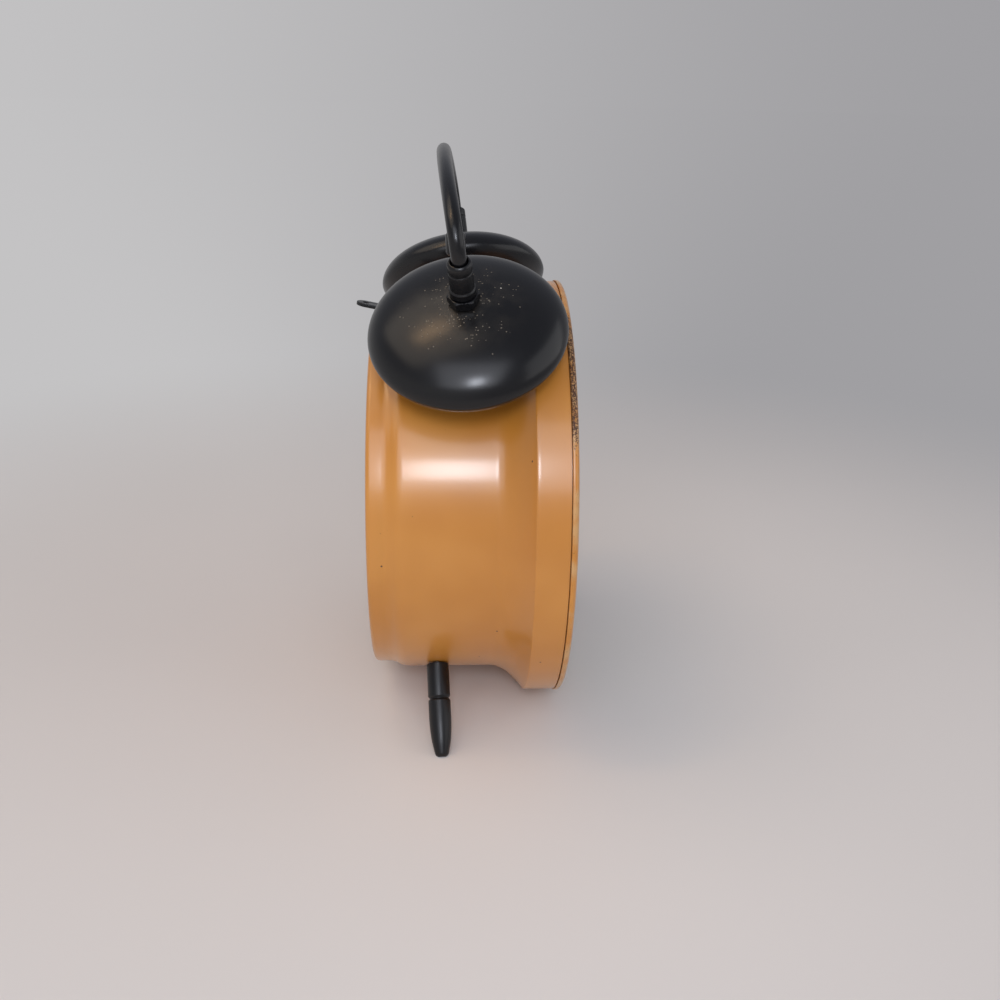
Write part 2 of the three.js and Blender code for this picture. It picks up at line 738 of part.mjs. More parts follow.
function makeHammer() {
  const half = hammerHeadHeight / 2;
  const bore = hammerArmRadius + seat;
  const head = turned(
    [
      [0, seat],
      [bore, seat],
      [bore, -half],
      [hammerHeadRadius - hammerHeadEdge, -half],
      [hammerHeadRadius, hammerHeadEdge - half],
      [hammerHeadRadius, half - hammerHeadEdge],
      [hammerHeadRadius - hammerHeadEdge, half],
      [0, half],
    ],
    12,
  );
  addPiece("hammer_head", laidAlong(head, hammerHeadCentre, hammerLine, hammerDepth), glossBlack);
  const armMiddle = hammerArbor.clone().add(hammerHeadCentre).multiplyScalar(0.5);
  const wire = new THREE.CylinderGeometry(hammerArmRadius, hammerArmRadius, hammerLine.length(), 8);
  const arm = joined(
    pivoted(hammerArbor),
    laidAlong(wire, armMiddle, hammerLine, hammerDepth),
    ...arms(hammerArbor, alarmEscapeArbor, verge, alarmEscapeFront),
  );
  addPiece("hammer_arm", arm, steel);
}

// Stop lever: a sloping strip with round ends, held under the roof by a rivet
function makeStopLever() {
  const half = leverWidth / 2;
  const strip = new THREE.Shape([
    ...circlePoints(half, 16, new THREE.Vector2(0, leverReach - half)).slice(0, 9),
    ...circlePoints(half, 16, new THREE.Vector2(0, half - leverTail), 180).slice(0, 9),
  ]);
  strip.holes.push(hole(rivet.radius + 2 * running, centre, 10));
  strip.holes.push(hole(leverTipHole, new THREE.Vector2(0, leverReach - half), 8));
  const lever = new THREE.ExtrudeGeometry(strip, { depth: leverThickness, bevelEnabled: false });
  addPiece("stop_lever", lever.translate(0, 0, -leverThickness / 2), glossBlack, leverGroup);
  const leverUnderside = leverPivotHeight - leverThickness / 2 / Math.cos(leverSlope);
  const headTop = leverUnderside - rivet.head * Math.tan(leverSlope) - seat / 2;
  const pin = turned(
    [
      [0, headTop - rivet.headHeight],
      [rivet.head, headTop - rivet.headHeight],
      [rivet.head, headTop],
      [rivet.radius, headTop],
      [rivet.radius, waistRadius + running],
      [rivet.head, waistRadius + running],
      [rivet.head * 0.6, waistRadius + rivet.headHeight],
      [0, waistRadius + rivet.headHeight],
    ],
    10,
  );
  addPiece("stop_lever_rivet", upright(pin), glossBlack);
}

const pillarPlaces = pillarAngles.map((angle) =>
  new THREE.Vector2(pillarCircle, 0).rotateAround(centre, angle),
);

// Back plate: it seats on the step of the case and carries the keys, knobs and regulator slot
function makeBack() {
  const plate = new THREE.Shape(circlePoints(waistRadius - steelWall - seat, caseSides));
  const holes = [
    ...pillarPlaces.map((at) => [backScrewRadius, at]),
    [windingArborRadius, timeArbor],
    [windingArborRadius, alarmArbor],
    [arborRadius, centre],
    [arborRadius, alarmSetArbor],
  ];
  for (const [radius, at] of holes) plate.holes.push(hole(radius + seat, at, 10));
  const tabAngle = (regulatorTab.half + 2 * seat) / regulatorReach;
  const slotHalf = THREE.MathUtils.radToDeg(regulatorSwing + tabAngle);
  const arc = (radius) =>
    [1, 0.5, 0, -0.5, -1].map((share) => toward(balanceStaff, radius, 90 + share * slotHalf));
  const margin = regulatorTab.thickness / 2 + 2 * seat;
  plate.holes.push(
    new THREE.Path([...arc(regulatorReach + margin), ...arc(regulatorReach - margin).reverse()]),
  );
  const notch = box(
    [-leverSlotHalf, leverSlotHalf],
    [backPlateFront - seat, backPlateBack + seat],
    [leverPivotHeight, waistRadius],
  );
  addPiece("back_plate", cut(sheet(plate, backPlateFront, backPlateBack), notch), mustardEnamel);
  const headFront = backPlateBack + seat;
  const headBack = headFront + backScrewHeadHeight;
  pillarPlaces.forEach((at, i) => {
    const screw = turned(
      [
        [0, headFront - backScrewLength],
        [backScrewRadius, headFront - backScrewLength],
        [backScrewRadius, headFront],
        [backScrewHeadRadius, headFront],
        [backScrewHeadRadius, headBack - backScrewEdge],
        [backScrewHeadRadius - backScrewEdge, headBack],
        [0, headBack],
      ],
      10,
    );
    const slot = box(
      [-2 * backScrewHeadRadius, 2 * backScrewHeadRadius],
      [headBack - backScrewSlot.depth, headBack + backScrewSlot.depth],
      [-backScrewSlot.width / 2, backScrewSlot.width / 2],
    );
    addPiece(`back_screw_${i + 1}`, cut(screw, slot).translate(at.x, 0, at.y), steel);
  });
}

// Winding keys: a hub on the arbor and two round wings
const keyFront = backPlateBack + seat;
const keyBack = keyFront + keyHeight;
const windingArborBack = keyBack - keyHeight / 2 - running;

function makeKeys() {
  const wingHalf = keyHeight * keyWing.half;
  const lobe = keySpan / 4 - keyWing.inset;
  const wingSheet = { depth: keyThickness, bevelEnabled: false, curveSegments: 7 };
  for (const { name, at } of windingSides) {
    const wings = [-1, 1].map((side) => {
      const outline = new THREE.Shape();
      outline.absellipse(side * (keySpan / 2 - lobe), keyBack - wingHalf, lobe, wingHalf, 0, 2 * Math.PI);
      return new THREE.ExtrudeGeometry(outline, wingSheet).translate(0, 0, -keyThickness / 2);
    });
    const hub = bar(keyHubRadius, keyFront, keyBack - wingHalf, centre, 12);
    const bore = bar(windingArborRadius + running, keyFront - seat, windingArborBack + running, centre, 10);
    addPiece(`${name}_key`, cut(joined(hub, ...wings), bore).translate(at.x, 0, at.y), brass);
  }
}

// Setting knobs: a scalloped grip on a plain collar
const knobBack = keyFront + knobHeight;
const setArborBack = knobBack - shaftInKnob - running;

function makeKnobs() {
  const gripFront = keyFront + knobCollar;
  const knobs = [["time_knob", centre, timeKnob], ["alarm_knob", alarmSetArbor, alarmKnob]];
  for (const [name, at, { radius, scallops }] of knobs) {
    const crests = circlePoints(radius, scallops, at);
    const hollows = circlePoints(radius - scallopDepth, scallops, at, 180 / scallops);
    const outline = new THREE.Shape(crests.flatMap((crest, i) => [crest, hollows[i]]));
    const collar = bar(radius / 2, keyFront, gripFront + bedding, at, 12);
    const bore = bar(arborRadius + running, keyFront - seat, setArborBack + running, at);
    addPiece(name, cut(joined(sheet(outline, gripFront, knobBack), collar), bore), brass);
  }
}

// Regulator lever: a ring round the balance's rear bearing, with a tab through the back plate
function makeRegulator() {
  const front = rearPlateBack + seat;
  const back = front + regulatorThickness;
  const halfTab = regulatorTab.thickness / 2;
  const width = [-regulatorTab.half, regulatorTab.half];
  const tabRise = [regulatorReach - halfTab, regulatorReach + halfTab];
  const lever = joined(
    sheet(new THREE.Shape(circlePoints(regulatorRing, 12)), front, back),
    box(width, [front, back], [(regulatorRing + bearingBoss.radius) / 2, regulatorReach]),
    box(width, [front, backPlateBack + regulatorTab.height], tabRise),
  );
  const bore = bar(bearingBoss.radius + running, front - seat, back + seat, centre, 10);
  addPiece("regulator_lever", cut(lever, bore).translate(balanceStaff.x, 0, balanceStaff.y), brass);
}

const springPostReach = springRadius + springStrip / 2 + seat + springPostRadius;
const thirdWheelFront = springFront + 2 * endShake;
const balanceFront = thirdWheelFront + wheelThickness + 2 * endShake;
const palletFront = balanceFront + wheelThickness + 4 * endShake;

// Movement plates: the front one carries the pillars, the rear one the posts of the back plate
function makePlates() {
  const pivots = [thirdArbor, escapeArbor, palletArbor, balanceStaff, alarmEscapeArbor, hammerArbor];
  const shafts = [
    ...pivots.map((at) => [pivotRadius, at]),
    [arborRadius, centre],
    [arborRadius, alarmSetArbor],
  ];
  const plate = (bores) => {
    const outline = new THREE.Shape(circlePoints(plateRadius, 32));
    for (const [radius, at] of bores) outline.holes.push(hole(radius + running, at, 8));
    return outline;
  };
  const frontBores = [...shafts, [windingPivotRadius, timeArbor], [windingPivotRadius, alarmArbor]];
  const pillars = pillarPlaces.map((at) =>
    bar(pillarRadius, frontPlateBack - bedding, rearPlateFront - seat, at, 10),
  );
  const minuteStud = bar(
    minuteStudRadius,
    hourWheelFront - running / 2,
    frontPlateFront + bedding,
    minuteArbor,
  );
  const studReach = hairspringRadius + hairspringStrip / 2 + seat + pivotRadius;
  const hairspringStud = bar(
    pivotRadius,
    frontPlateBack - bedding,
    thirdWheelFront + wheelThickness,
    toward(balanceStaff, studReach, hairspringEnd),
  );
  const frontSheet = sheet(plate(frontBores), frontPlateFront, frontPlateBack);
  addPiece("front_plate", joined(frontSheet, ...pillars, minuteStud, hairspringStud), brass);
  const rearBores = [...shafts, [windingArborRadius, timeArbor], [windingArborRadius, alarmArbor]];
  const posts = pillarPlaces.map((at) =>
    bar(pillarRadius, rearPlateBack - bedding, backPlateFront - seat, at, 10),
  );
  const screwEnd = backPlateBack + seat - backScrewLength;
  const threads = pillarPlaces.map((at) =>
    bar(backScrewRadius + running, screwEnd - seat, backPlateFront, at, 10),
  );
  const springPosts = windingSides.map(({ name, at }) => {
    const place = toward(at, springPostReach, springEnds[name]);
    return bar(springPostRadius, springFront, rearPlateFront + bedding, place);
  });
  const bossBack = rearPlateBack + bearingBoss.height;
  const boss = disc(bearingBoss.radius, rearPlateBack - bedding, bossBack, 10, pivotRadius + running);
  boss.translate(balanceStaff.x, 0, balanceStaff.y);
  const rearSheet = sheet(plate(rearBores), rearPlateFront, rearPlateBack);
  addPiece("rear_plate", cut(joined(rearSheet, ...posts, ...springPosts, boss), ...threads), brass);
}

// A flat coil of strip that ends at an angle, seen from the front
function spiralShape(at, { inner, outer, turns, strip, end, stepsPerTurn, hand }) {
  const count = Math.round(turns * stepsPerTurn);
  const side = (offset) =>
    Array.from({ length: count + 1 }, (_, i) => {
      const share = i / count;
      const radius = inner + (outer - inner) * share + offset;
      return toward(at, radius, end - hand * 360 * turns * (1 - share));
    });
  return new THREE.Shape([...side(strip / 2), ...side(-strip / 2).reverse()]);
}

// A pawl that points at the ratchet from above, on the side that the spring turns toward
function clickShape(at, hand) {
  const tip = toward(at, ratchetRadius + 2 * seat, 90 + hand * click.tipAngle);
  const heel = toward(at, ratchetRadius + 2 * seat + click.length, 90 + hand * click.heelAngle);
  const across = heel.clone().sub(tip).setLength(click.half).rotateAround(centre, Math.PI / 2);
  return new THREE.Shape([
    tip,
    heel.clone().sub(across),
    heel.clone().add(across),
    tip.clone().addScaledVector(across, 0.5),
  ]);
}

// Saw teeth that lean one way
function ratchetShape(at, hand) {
  const step = 360 / ratchetTeeth;
  const teeth = Array.from({ length: ratchetTeeth }, (_, i) => [
    toward(at, ratchetRadius, step * i),
    toward(at, ratchetRadius - ratchetTooth.depth, step * (i + hand * ratchetTooth.lean)),
  ]);
  return new THREE.Shape(teeth.flatMap((pair) => (hand > 0 ? pair : pair.reverse())));
}

// Winding: a great wheel, an arbor with its ratchet, a click and a mainspring on each side
function makeWinding() {
  const wheels = {
    time: meshedPair(greatPair, timeArbor, centre).wheel,
    alarm: meshedPair(alarmGreatPair, alarmArbor, alarmEscapeArbor).wheel,
  };
  for (const { name, at, hand } of windingSides) {
    const wheel = wheels[name];
    wheel.holes.push(hole(windingArborRadius + running, at, 10));
    addPiece(`${name}_great_wheel`, sheet(wheel, greatWheelFront, greatWheelBack), brass);
    const shaft = turned(
      [
        [0, frontPlateFront + running],
        [windingPivotRadius, frontPlateFront + running],
        [windingPivotRadius, frontPlateBack + running],
        [windingArborRadius, frontPlateBack + running],
        [windingArborRadius, windingArborBack],
        [0, windingArborBack],
      ],
      10,
    ).translate(at.x, 0, at.y);
    const ratchet = sheet(ratchetShape(at, hand), ratchetFront, ratchetBack);
    addPiece(`${name}_winding_arbor`, joined(shaft, ratchet), steel);
    addPiece(`${name}_click`, sheet(clickShape(at, hand), greatWheelBack + seat, ratchetBack), steel);
    const coil = spiralShape(at, {
      inner: windingArborRadius + springCore,
      outer: springRadius,
      turns: springTurns,
      strip: springStrip,
      end: springEnds[name],
      stepsPerTurn: 14,
      hand,
    });
    addPiece(`${name}_mainspring`, sheet(coil, springFront, springBack), blueSteel);
  }
}

// Going train: centre arbor and wheel, third and escape wheels, pallet lever, balance and hairspring
function makeGoingTrain() {
  const great = meshedPair(greatPair, timeArbor, centre);
  const middle = meshedPair(centrePair, centre, thirdArbor);
  const third = meshedPair(thirdPair, thirdArbor, escapeArbor);
  const cannon = meshedPair(cannonPair, minuteArbor, centre);
  const wheelSheet = (shape, front) => sheet(shape, front, front + wheelThickness);
  const pinionSheet = (shape, front) =>
    sheet(shape, front - running / 2, front + wheelThickness + running / 2);
  const centreArbor = joined(
    bar(arborRadius, minuteHandBack - 2 * handThickness, setArborBack),
    sheet(great.pinion, greatWheelFront - running, greatWheelBack + running),
    pinionSheet(cannon.pinion, minuteWheelFront),
  );
  addPiece("centre_arbor", centreArbor, steel);
  middle.wheel.holes.push(hole(arborRadius + running, centre, 8));
  addPiece("centre_wheel", wheelSheet(middle.wheel, centreWheelFront), brass);
  const thirdWheel = joined(
    pivoted(thirdArbor),
    pinionSheet(middle.pinion, centreWheelFront),
    wheelSheet(third.wheel, thirdWheelFront),
  );
  addPiece("third_wheel", thirdWheel, brass);
  const escapePitch = escapeRadius / (1 + (2 * tooth.tip) / escapeTeeth);
  const escapeShape = toothedShape(escapeTeeth, escapePitch, 0, escapeArbor);
  const escapeWheel = joined(
    pivoted(escapeArbor),
    pinionSheet(third.pinion, thirdWheelFront),
    wheelSheet(escapeShape, palletFront),
  );
  addPiece("escape_wheel", escapeWheel, brass);
  const palletLever = joined(
    pivoted(palletArbor),
    arms(palletArbor, balanceStaff, fork, palletFront)[0],
    ...arms(palletArbor, escapeArbor, pallets, palletFront),
  );
  addPiece("pallet_lever", palletLever, steel);
  const balanceBack = balanceFront + wheelThickness;
  const rim = disc(balanceRadius, balanceFront, balanceBack, 24, balanceRadius - balanceRim);
  const spokeReach = balanceRadius - balanceRim / 2;
  const spoke = box([-spokeReach, spokeReach], [balanceFront, balanceBack], [-balanceSpoke, balanceSpoke]);
  const wheel = [rim, spoke].map((piece) => piece.translate(balanceStaff.x, 0, balanceStaff.y));
  const roller = bar(rollerRadius, palletFront, palletFront + wheelThickness, balanceStaff, 10);
  addPiece("balance_wheel", joined(pivoted(balanceStaff), ...wheel, roller), brass);
  const coil = spiralShape(balanceStaff, {
    inner: hairspringCore,
    outer: hairspringRadius,
    turns: hairspringTurns,
    strip: hairspringStrip,
    end: hairspringEnd,
    stepsPerTurn: 12,
    hand: 1,
  });
  addPiece("hairspring", wheelSheet(coil, thirdWheelFront), blueSteel);
}

// Motion work between the dial and the front plate
function makeMotionWork() {
  const cannon = meshedPair(cannonPair, minuteArbor, centre);
  const hour = meshedPair(hourPair, centre, minuteArbor);
  const alarm = meshedPair(alarmSetPair, centre, alarmSetArbor);
  const studBore = hole(minuteStudRadius + running, minuteArbor, 8);
  cannon.wheel.holes.push(studBore);
  hour.pinion.holes.push(studBore);
  const minuteWheel = joined(
    sheet(cannon.wheel, minuteWheelFront, minuteWheelFront + wheelThickness),
    sheet(hour.pinion, hourWheelFront, minuteWheelFront + wheelThickness / 2),
  );
  addPiece("minute_wheel", minuteWheel, brass);
  const tubes = [
    ["hour_wheel", hour.wheel, hourTubeInside, hourTubeOutside, hourHandBack, hourWheelFront],
    ["alarm_wheel", alarm.wheel, alarmTubeInside, alarmTubeOutside, alarmHandBack, alarmWheelFront],
  ];
  for (const [name, wheel, inside, outside, handBack, wheelFront] of tubes) {
    wheel.holes.push(hole((inside + outside) / 2, centre, 12));
    const tube = disc(outside, handBack - handThickness - running, wheelFront + wheelThickness, 12, inside);
    addPiece(name, joined(sheet(wheel, wheelFront, wheelFront + wheelThickness), tube), brass);
  }
  const pinionFront = alarmWheelFront - running / 2;
  const setArbor = joined(
    bar(arborRadius, pinionFront, setArborBack, alarmSetArbor),
    sheet(alarm.pinion, pinionFront, alarmWheelFront + wheelThickness + running),
  );
  addPiece("alarm_set_arbor", setArbor, steel);
}

// Alarm train: the escape wheel that rocks the hammer's verge
function makeAlarmTrain() {
  const pinion = meshedPair(alarmGreatPair, alarmArbor, alarmEscapeArbor).pinion;
  const pitchRadius = alarmEscapeRadius / (1 + (2 * tooth.tip) / alarmEscapeTeeth);
  const wheel = toothedShape(alarmEscapeTeeth, pitchRadius, 0, alarmEscapeArbor);
  const escape = joined(
    pivoted(alarmEscapeArbor),
    sheet(pinion, greatWheelFront - running, greatWheelBack + running),
    sheet(wheel, alarmEscapeFront, alarmEscapeFront + wheelThickness),
  );
  addPiece("alarm_escape_wheel", escape, brass);
}

makeCase();
makeFront();
makeDial();
makeHands();
makeBells();
makeHandle();
makeFeet();
makeHammer();
makeStopLever();
makeBack();
makeKeys();
makeKnobs();
makeRegulator();
makePlates();
makeWinding();
makeGoingTrain();
makeMotionWork();
makeAlarmTrain();

export default alarmClock;
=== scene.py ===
import json
import math

import bmesh
import bpy
import numpy as np
from mathutils import Matrix, Vector


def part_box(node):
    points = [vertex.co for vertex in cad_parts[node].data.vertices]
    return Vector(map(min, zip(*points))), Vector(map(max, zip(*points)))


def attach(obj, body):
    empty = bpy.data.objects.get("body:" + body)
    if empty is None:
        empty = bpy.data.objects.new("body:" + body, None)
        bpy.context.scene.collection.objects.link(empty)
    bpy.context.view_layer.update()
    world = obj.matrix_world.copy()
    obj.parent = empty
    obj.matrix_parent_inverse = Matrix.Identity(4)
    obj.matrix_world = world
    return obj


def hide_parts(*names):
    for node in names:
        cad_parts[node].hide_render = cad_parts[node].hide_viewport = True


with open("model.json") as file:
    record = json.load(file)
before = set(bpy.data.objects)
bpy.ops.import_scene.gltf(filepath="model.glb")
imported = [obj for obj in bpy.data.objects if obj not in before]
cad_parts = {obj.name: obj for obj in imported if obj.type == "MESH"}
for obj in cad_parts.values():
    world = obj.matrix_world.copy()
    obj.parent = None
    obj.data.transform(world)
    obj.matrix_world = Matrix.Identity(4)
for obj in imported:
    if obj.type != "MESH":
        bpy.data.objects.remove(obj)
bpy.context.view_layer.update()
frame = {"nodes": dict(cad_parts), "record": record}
nodes = frame["nodes"]
print("frame loaded,", len(nodes), "solids")

mm = 0.001
bezelLow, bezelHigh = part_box("bezel_ring")
frontY = bezelLow.y / mm  # where depth is 0
axisZ = (bezelLow.z + bezelHigh.z) / 2 / mm  # height of the dial axis above the floor


# A place is a 3x3 turn and a shift in mm. Its local Y axis is the axis of what is turned.
dialPlace = (np.eye(3), np.array([0, frontY, axisZ]))


# The shortest turn that takes Y to the direction: I + [v] + [v]^2 / (1 + c)
def placeAlong(point, direction):
    d = np.array(direction, float) / np.linalg.norm(direction)
    v, c = np.cross([0, 1, 0], d), d[1]
    k = np.array([[0, -v[2], v[1]], [v[2], 0, -v[0]], [-v[1], v[0], 0]])
    return np.eye(3) + k + k @ k / (1 + c), np.array(point, float) + dialPlace[1]


def onDial(x, z):  # dialPlace with its axis moved to an arbor
    return np.eye(3), dialPlace[1] + np.array([x, 0, z])


def putInPlace(points, place):
    return points @ place[0].T + place[1]


def addObject(name, data):
    piece = bpy.data.objects.new(name, data)
    bpy.context.scene.collection.objects.link(piece)
    return piece


# Points on a grid become quads; rows or columns that close on themselves are joined and poles merged
def gridPiece(name, points, closedRows=False, closedColumns=False, sharp=35, outward=True):
    rows, columns = points.shape[:2]
    index = np.arange(rows * columns).reshape(rows, columns)
    if closedRows:
        index = np.vstack([index, index[:1]])
    if closedColumns:
        index = np.hstack([index, index[:, :1]])
    quads = np.stack([index[:-1, :-1], index[1:, :-1], index[1:, 1:], index[:-1, 1:]], -1).reshape(-1, 4)
    mesh = bpy.data.meshes.new(name)
    mesh.from_pydata((points.reshape(-1, 3) * mm).tolist(), [], quads.tolist())
    finishMesh(mesh, sharp, outward)
    return addObject(name, mesh)


def finishMesh(mesh, sharp=35, outward=True):  # merges doubles, turns faces out, shades smooth up to an angle
    work = bmesh.new()
    work.from_mesh(mesh)
    bmesh.ops.remove_doubles(work, verts=work.verts, dist=1e-7)
    bmesh.ops.dissolve_degenerate(work, edges=work.edges, dist=1e-8)
    if outward:
        bmesh.ops.recalc_face_normals(work, faces=work.faces)
    work.to_mesh(mesh)
    work.free()
    mesh.shade_smooth()
    mesh.set_sharp_from_angle(angle=math.radians(sharp))


# Corners become quadratic curves from cut mm before to cut mm after them: (1-s)^2 a + 2s(1-s) b + s^2 c
def rounded(corners, cuts, closed=False, steps=5):
    p = np.array(corners, float)
    count = len(p)
    cuts = np.broadcast_to(np.array(cuts, float), count)
    s = np.linspace(0, 1, steps + 1)[:, None]
    out = []
    for i in range(count):
        if cuts[i] == 0 or (not closed and i in (0, count - 1)):
            out.append(p[i : i + 1])
            continue
        before, after = p[i - 1] - p[i], p[(i + 1) % count] - p[i]
        a = p[i] + before * min(cuts[i] / np.linalg.norm(before), 0.49)
        c = p[i] + after * min(cuts[i] / np.linalg.norm(after), 0.49)
        out.append((1 - s) ** 2 * a + 2 * s * (1 - s) * p[i] + s**2 * c)
    return np.vstack(out)


# A profile of (radius, depth) carried round its place's Y axis: x = r cos a, y = depth, z = r sin a
def turnedPiece(name, profile, place=dialPlace, sides=96, closed=False, limit=None, sharp=35):
    angles = np.arange(sides) * 2 * math.pi / sides
    radius, depth = profile[:, :1], profile[:, 1:]
    if limit is not None:
        radius = np.minimum(radius, limit(angles)[None, :])
    ring = np.stack([radius * np.cos(angles), depth + 0 * angles, radius * np.sin(angles)], -1)
    return gridPiece(name, putInPlace(ring, place), closedRows=closed, closedColumns=True, sharp=sharp)


# A round section carried along a path: centre + r (cos a * side + sin a * top), ends closed on the axis
def tubePiece(name, path, radius, side, sides=24):
    radius = np.broadcast_to(np.array(radius, float), len(path))[:, None, None]
    forward = np.gradient(path, axis=0)
    forward /= np.linalg.norm(forward, axis=1, keepdims=True)
    top = np.cross(forward, side)
    top /= np.linalg.norm(top, axis=1, keepdims=True)
    across = np.cross(top, forward)
    angles = np.arange(sides) * 2 * math.pi / sides
    turn = np.cos(angles)[None, :, None] * across[:, None] + np.sin(angles)[None, :, None] * top[:, None]
    skin = path[:, None] + radius * turn
    ends = [np.repeat(path[i][None, None], sides, 1) for i in (0, -1)]
    return gridPiece(name, np.concatenate([ends[0], skin, ends[1]]), closedColumns=True)


def bezier(points, count):  # sum of C(n,i) (1-s)^(n-i) s^i P_i
    p, s = np.array(points, float), np.linspace(0, 1, count)
    n = len(p) - 1
    weights = np.stack([math.comb(n, i) * (1 - s) ** (n - i) * s**i for i in range(n + 1)], 1)
    return weights @ p


def standsFor(piece, body, slot, material, *cadNodes):
    piece.data.materials.clear()
    piece.data.materials.append(material)
    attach(piece, body)
    if cadNodes:
        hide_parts(*cadNodes)
    return piece


def cutAway(piece, *cutters, operation="DIFFERENCE"):  # takes the cutters' volumes away, then deletes them
    for cutter in cutters:
        change = piece.modifiers.new("cut", "BOOLEAN")
        change.operation, change.solver, change.object = operation, "EXACT", cutter
    bpy.context.view_layer.update()
    shaped = bpy.data.meshes.new_from_object(piece.evaluated_get(bpy.context.evaluated_depsgraph_get()))
    piece.modifiers.clear()
    piece.data = shaped
    finishMesh(shaped)
    for cutter in cutters:
        bpy.data.objects.remove(cutter)
    return piece


def pointsOf(mesh):
    flat = np.zeros(len(mesh.vertices) * 3)
    mesh.vertices.foreach_get("co", flat)
    return flat.reshape(-1, 3)


def meshOfCurve(curve):  # a flat curve or a text, filled and made a mesh in its own plane
    holder = addObject("outline", curve)
    bpy.context.view_layer.update()
    mesh = bpy.data.meshes.new_from_object(holder.evaluated_get(bpy.context.evaluated_depsgraph_get()))
    bpy.data.objects.remove(holder)
    return mesh


def placeSheet(name, mesh, x, y, z, place):
    mesh.vertices.foreach_set("co", (putInPlace(np.stack([x, y, z], 1), place) * mm).ravel())
    mesh.name = name
    finishMesh(mesh, sharp=20)
    return addObject(name, mesh)


# Outlines in the plane seen from the front (x, z), first the rim and then the holes, cut from a sheet between
# two depths with its edges rounded
def sheetPiece(name, outlines, front, back, place=dialPlace, edge=0.0):
    curve = bpy.data.curves.new(name, "CURVE")
    curve.dimensions, curve.fill_mode = "2D", "BOTH"
    curve.extrude = (back - front) / 2 - edge
    curve.bevel_depth, curve.bevel_resolution = edge, 2
    curve.offset = -edge
    for outline in outlines:
        spline = curve.splines.new("POLY")
        spline.points.add(len(outline) - 1)
        flat = np.hstack([np.array(outline, float), np.zeros((len(outline), 1)), np.ones((len(outline), 1))])
        spline.points.foreach_set("co", flat.ravel())
        spline.use_cyclic_u = True
    mesh = meshOfCurve(curve)
    x, z, thick = pointsOf(mesh).T
    return placeSheet(name, mesh, x, (front + back) / 2 + thick, z, place)


# Prisms from eight corners each: four that go round the front end, then the four behind them
def prisms(name, corners, place):
    count = len(corners)
    faces = np.array([(0, 1, 2, 3), (7, 6, 5, 4), (0, 4, 5, 1), (1, 5, 6, 2), (2, 6, 7, 3), (3, 7, 4, 0)])
    quads = (np.arange(count)[:, None, None] * 8 + faces).reshape(-1, 4)
    mesh = bpy.data.meshes.new(name)
    mesh.from_pydata((putInPlace(np.reshape(corners, (-1, 3)), place) * mm).tolist(), [], quads.tolist())
    finishMesh(mesh)
    return addObject(name, mesh)


def markPoints(piece, name, values):  # a number on each point, for its material to read
    piece.data.attributes.new(name, "FLOAT", "POINT").data.foreach_set("value", values.astype(np.float32))


def joinMeshes(piece, others):  # separate bodies that make one piece
    work = bmesh.new()
    for source in [piece, *others]:
        work.from_mesh(source.data)
    work.to_mesh(piece.data)
    work.free()
    finishMesh(piece.data)
    for source in others:
        bpy.data.objects.remove(source)


def circle(radius, x=0.0, z=0.0, sides=48, start=0.0):
    a = start + np.arange(sides) * 2 * math.pi / sides
    return np.stack([x + radius * np.cos(a), z + radius * np.sin(a)], 1)


def arcOf(radius, x, z, first, last, count=24):  # degrees, counterclockwise seen from the front
    a = np.radians(np.linspace(first, last, count))
    return np.stack([x + radius * np.cos(a), z + radius * np.sin(a)], 1)


bothSides = {"left": -1, "right": 1}


# Materials
def linear(hexColour):  # sRGB hex to the linear colour that a socket takes
    v = np.array([int(hexColour[i : i + 2], 16) for i in (1, 3, 5)]) / 255
    return (*np.where(v <= 0.04045, v / 12.92, ((v + 0.055) / 1.055) ** 2.4), 1.0)


def newMaterial(name, **sockets):
    material = bpy.data.materials.new(name)
    material.use_nodes = True
    tree = material.node_tree
    shader = tree.nodes["Principled BSDF"]
    for socket, value in sockets.items():
        shader.inputs[socket.replace("_", " ")].default_value = value
    return material, tree, shader, addNode(tree, "TexCoord").outputs["Object"]


# Adds one node: settings are its properties or its inputs' values, links the sockets that feed its inputs
def addNode(tree, kind, settings=(), links=()):
    node = tree.nodes.new("ShaderNode" + kind)
    for key, value in dict(settings).items():
        if isinstance(key, str) and hasattr(node, key):
            setattr(node, key, value)
        else:
            node.inputs[key].default_value = value
    for key, socket in dict(links).items():
        tree.links.new(socket, node.inputs[key])
    return node


def sizeOf(millimetres):  # the texture scale whose features are about that wide
    return 1 / (millimetres * mm)


def noiseOf(tree, where, millimetres, detail=2.0, roughness=0.5):
    settings = {"Scale": sizeOf(millimetres), "Detail": detail, "Roughness": roughness}
    return addNode(tree, "TexNoise", settings, {"Vector": where}).outputs["Fac"]


def stepBetween(tree, value, low, high):  # 0 below low, 1 above high, smooth between
    settings = {"interpolation_type": "SMOOTHSTEP", "From Min": low, "From Max": high}
    return addNode(tree, "MapRange", settings, {"Value": value}).outputs["Result"]


def mapTo(tree, share, low, high):  # a share of 0 becomes low, a share of 1 high
    return addNode(tree, "MapRange", {"To Min": low, "To Max": high}, {"Value": share}).outputs["Result"]


def mixColours(tree, share, first, second):  # first and second are hex text or a colour socket
    settings, links = {"data_type": "RGBA"}, {0: share}
    for socket, colour in ((6, first), (7, second)):
        if isinstance(colour, str):
            settings[socket] = linear(colour)
        else:
            links[socket] = colour
    return addNode(tree, "Mix", settings, links).outputs[2]


def calculate(tree, operation, first, second=0.0):
    settings, links = {"operation": operation}, {}
    for socket, value in ((0, first), (1, second)):
        if isinstance(value, (int, float)):
            settings[socket] = float(value)
        else:
            links[socket] = value
    return addNode(tree, "Math", settings, links).outputs[0]


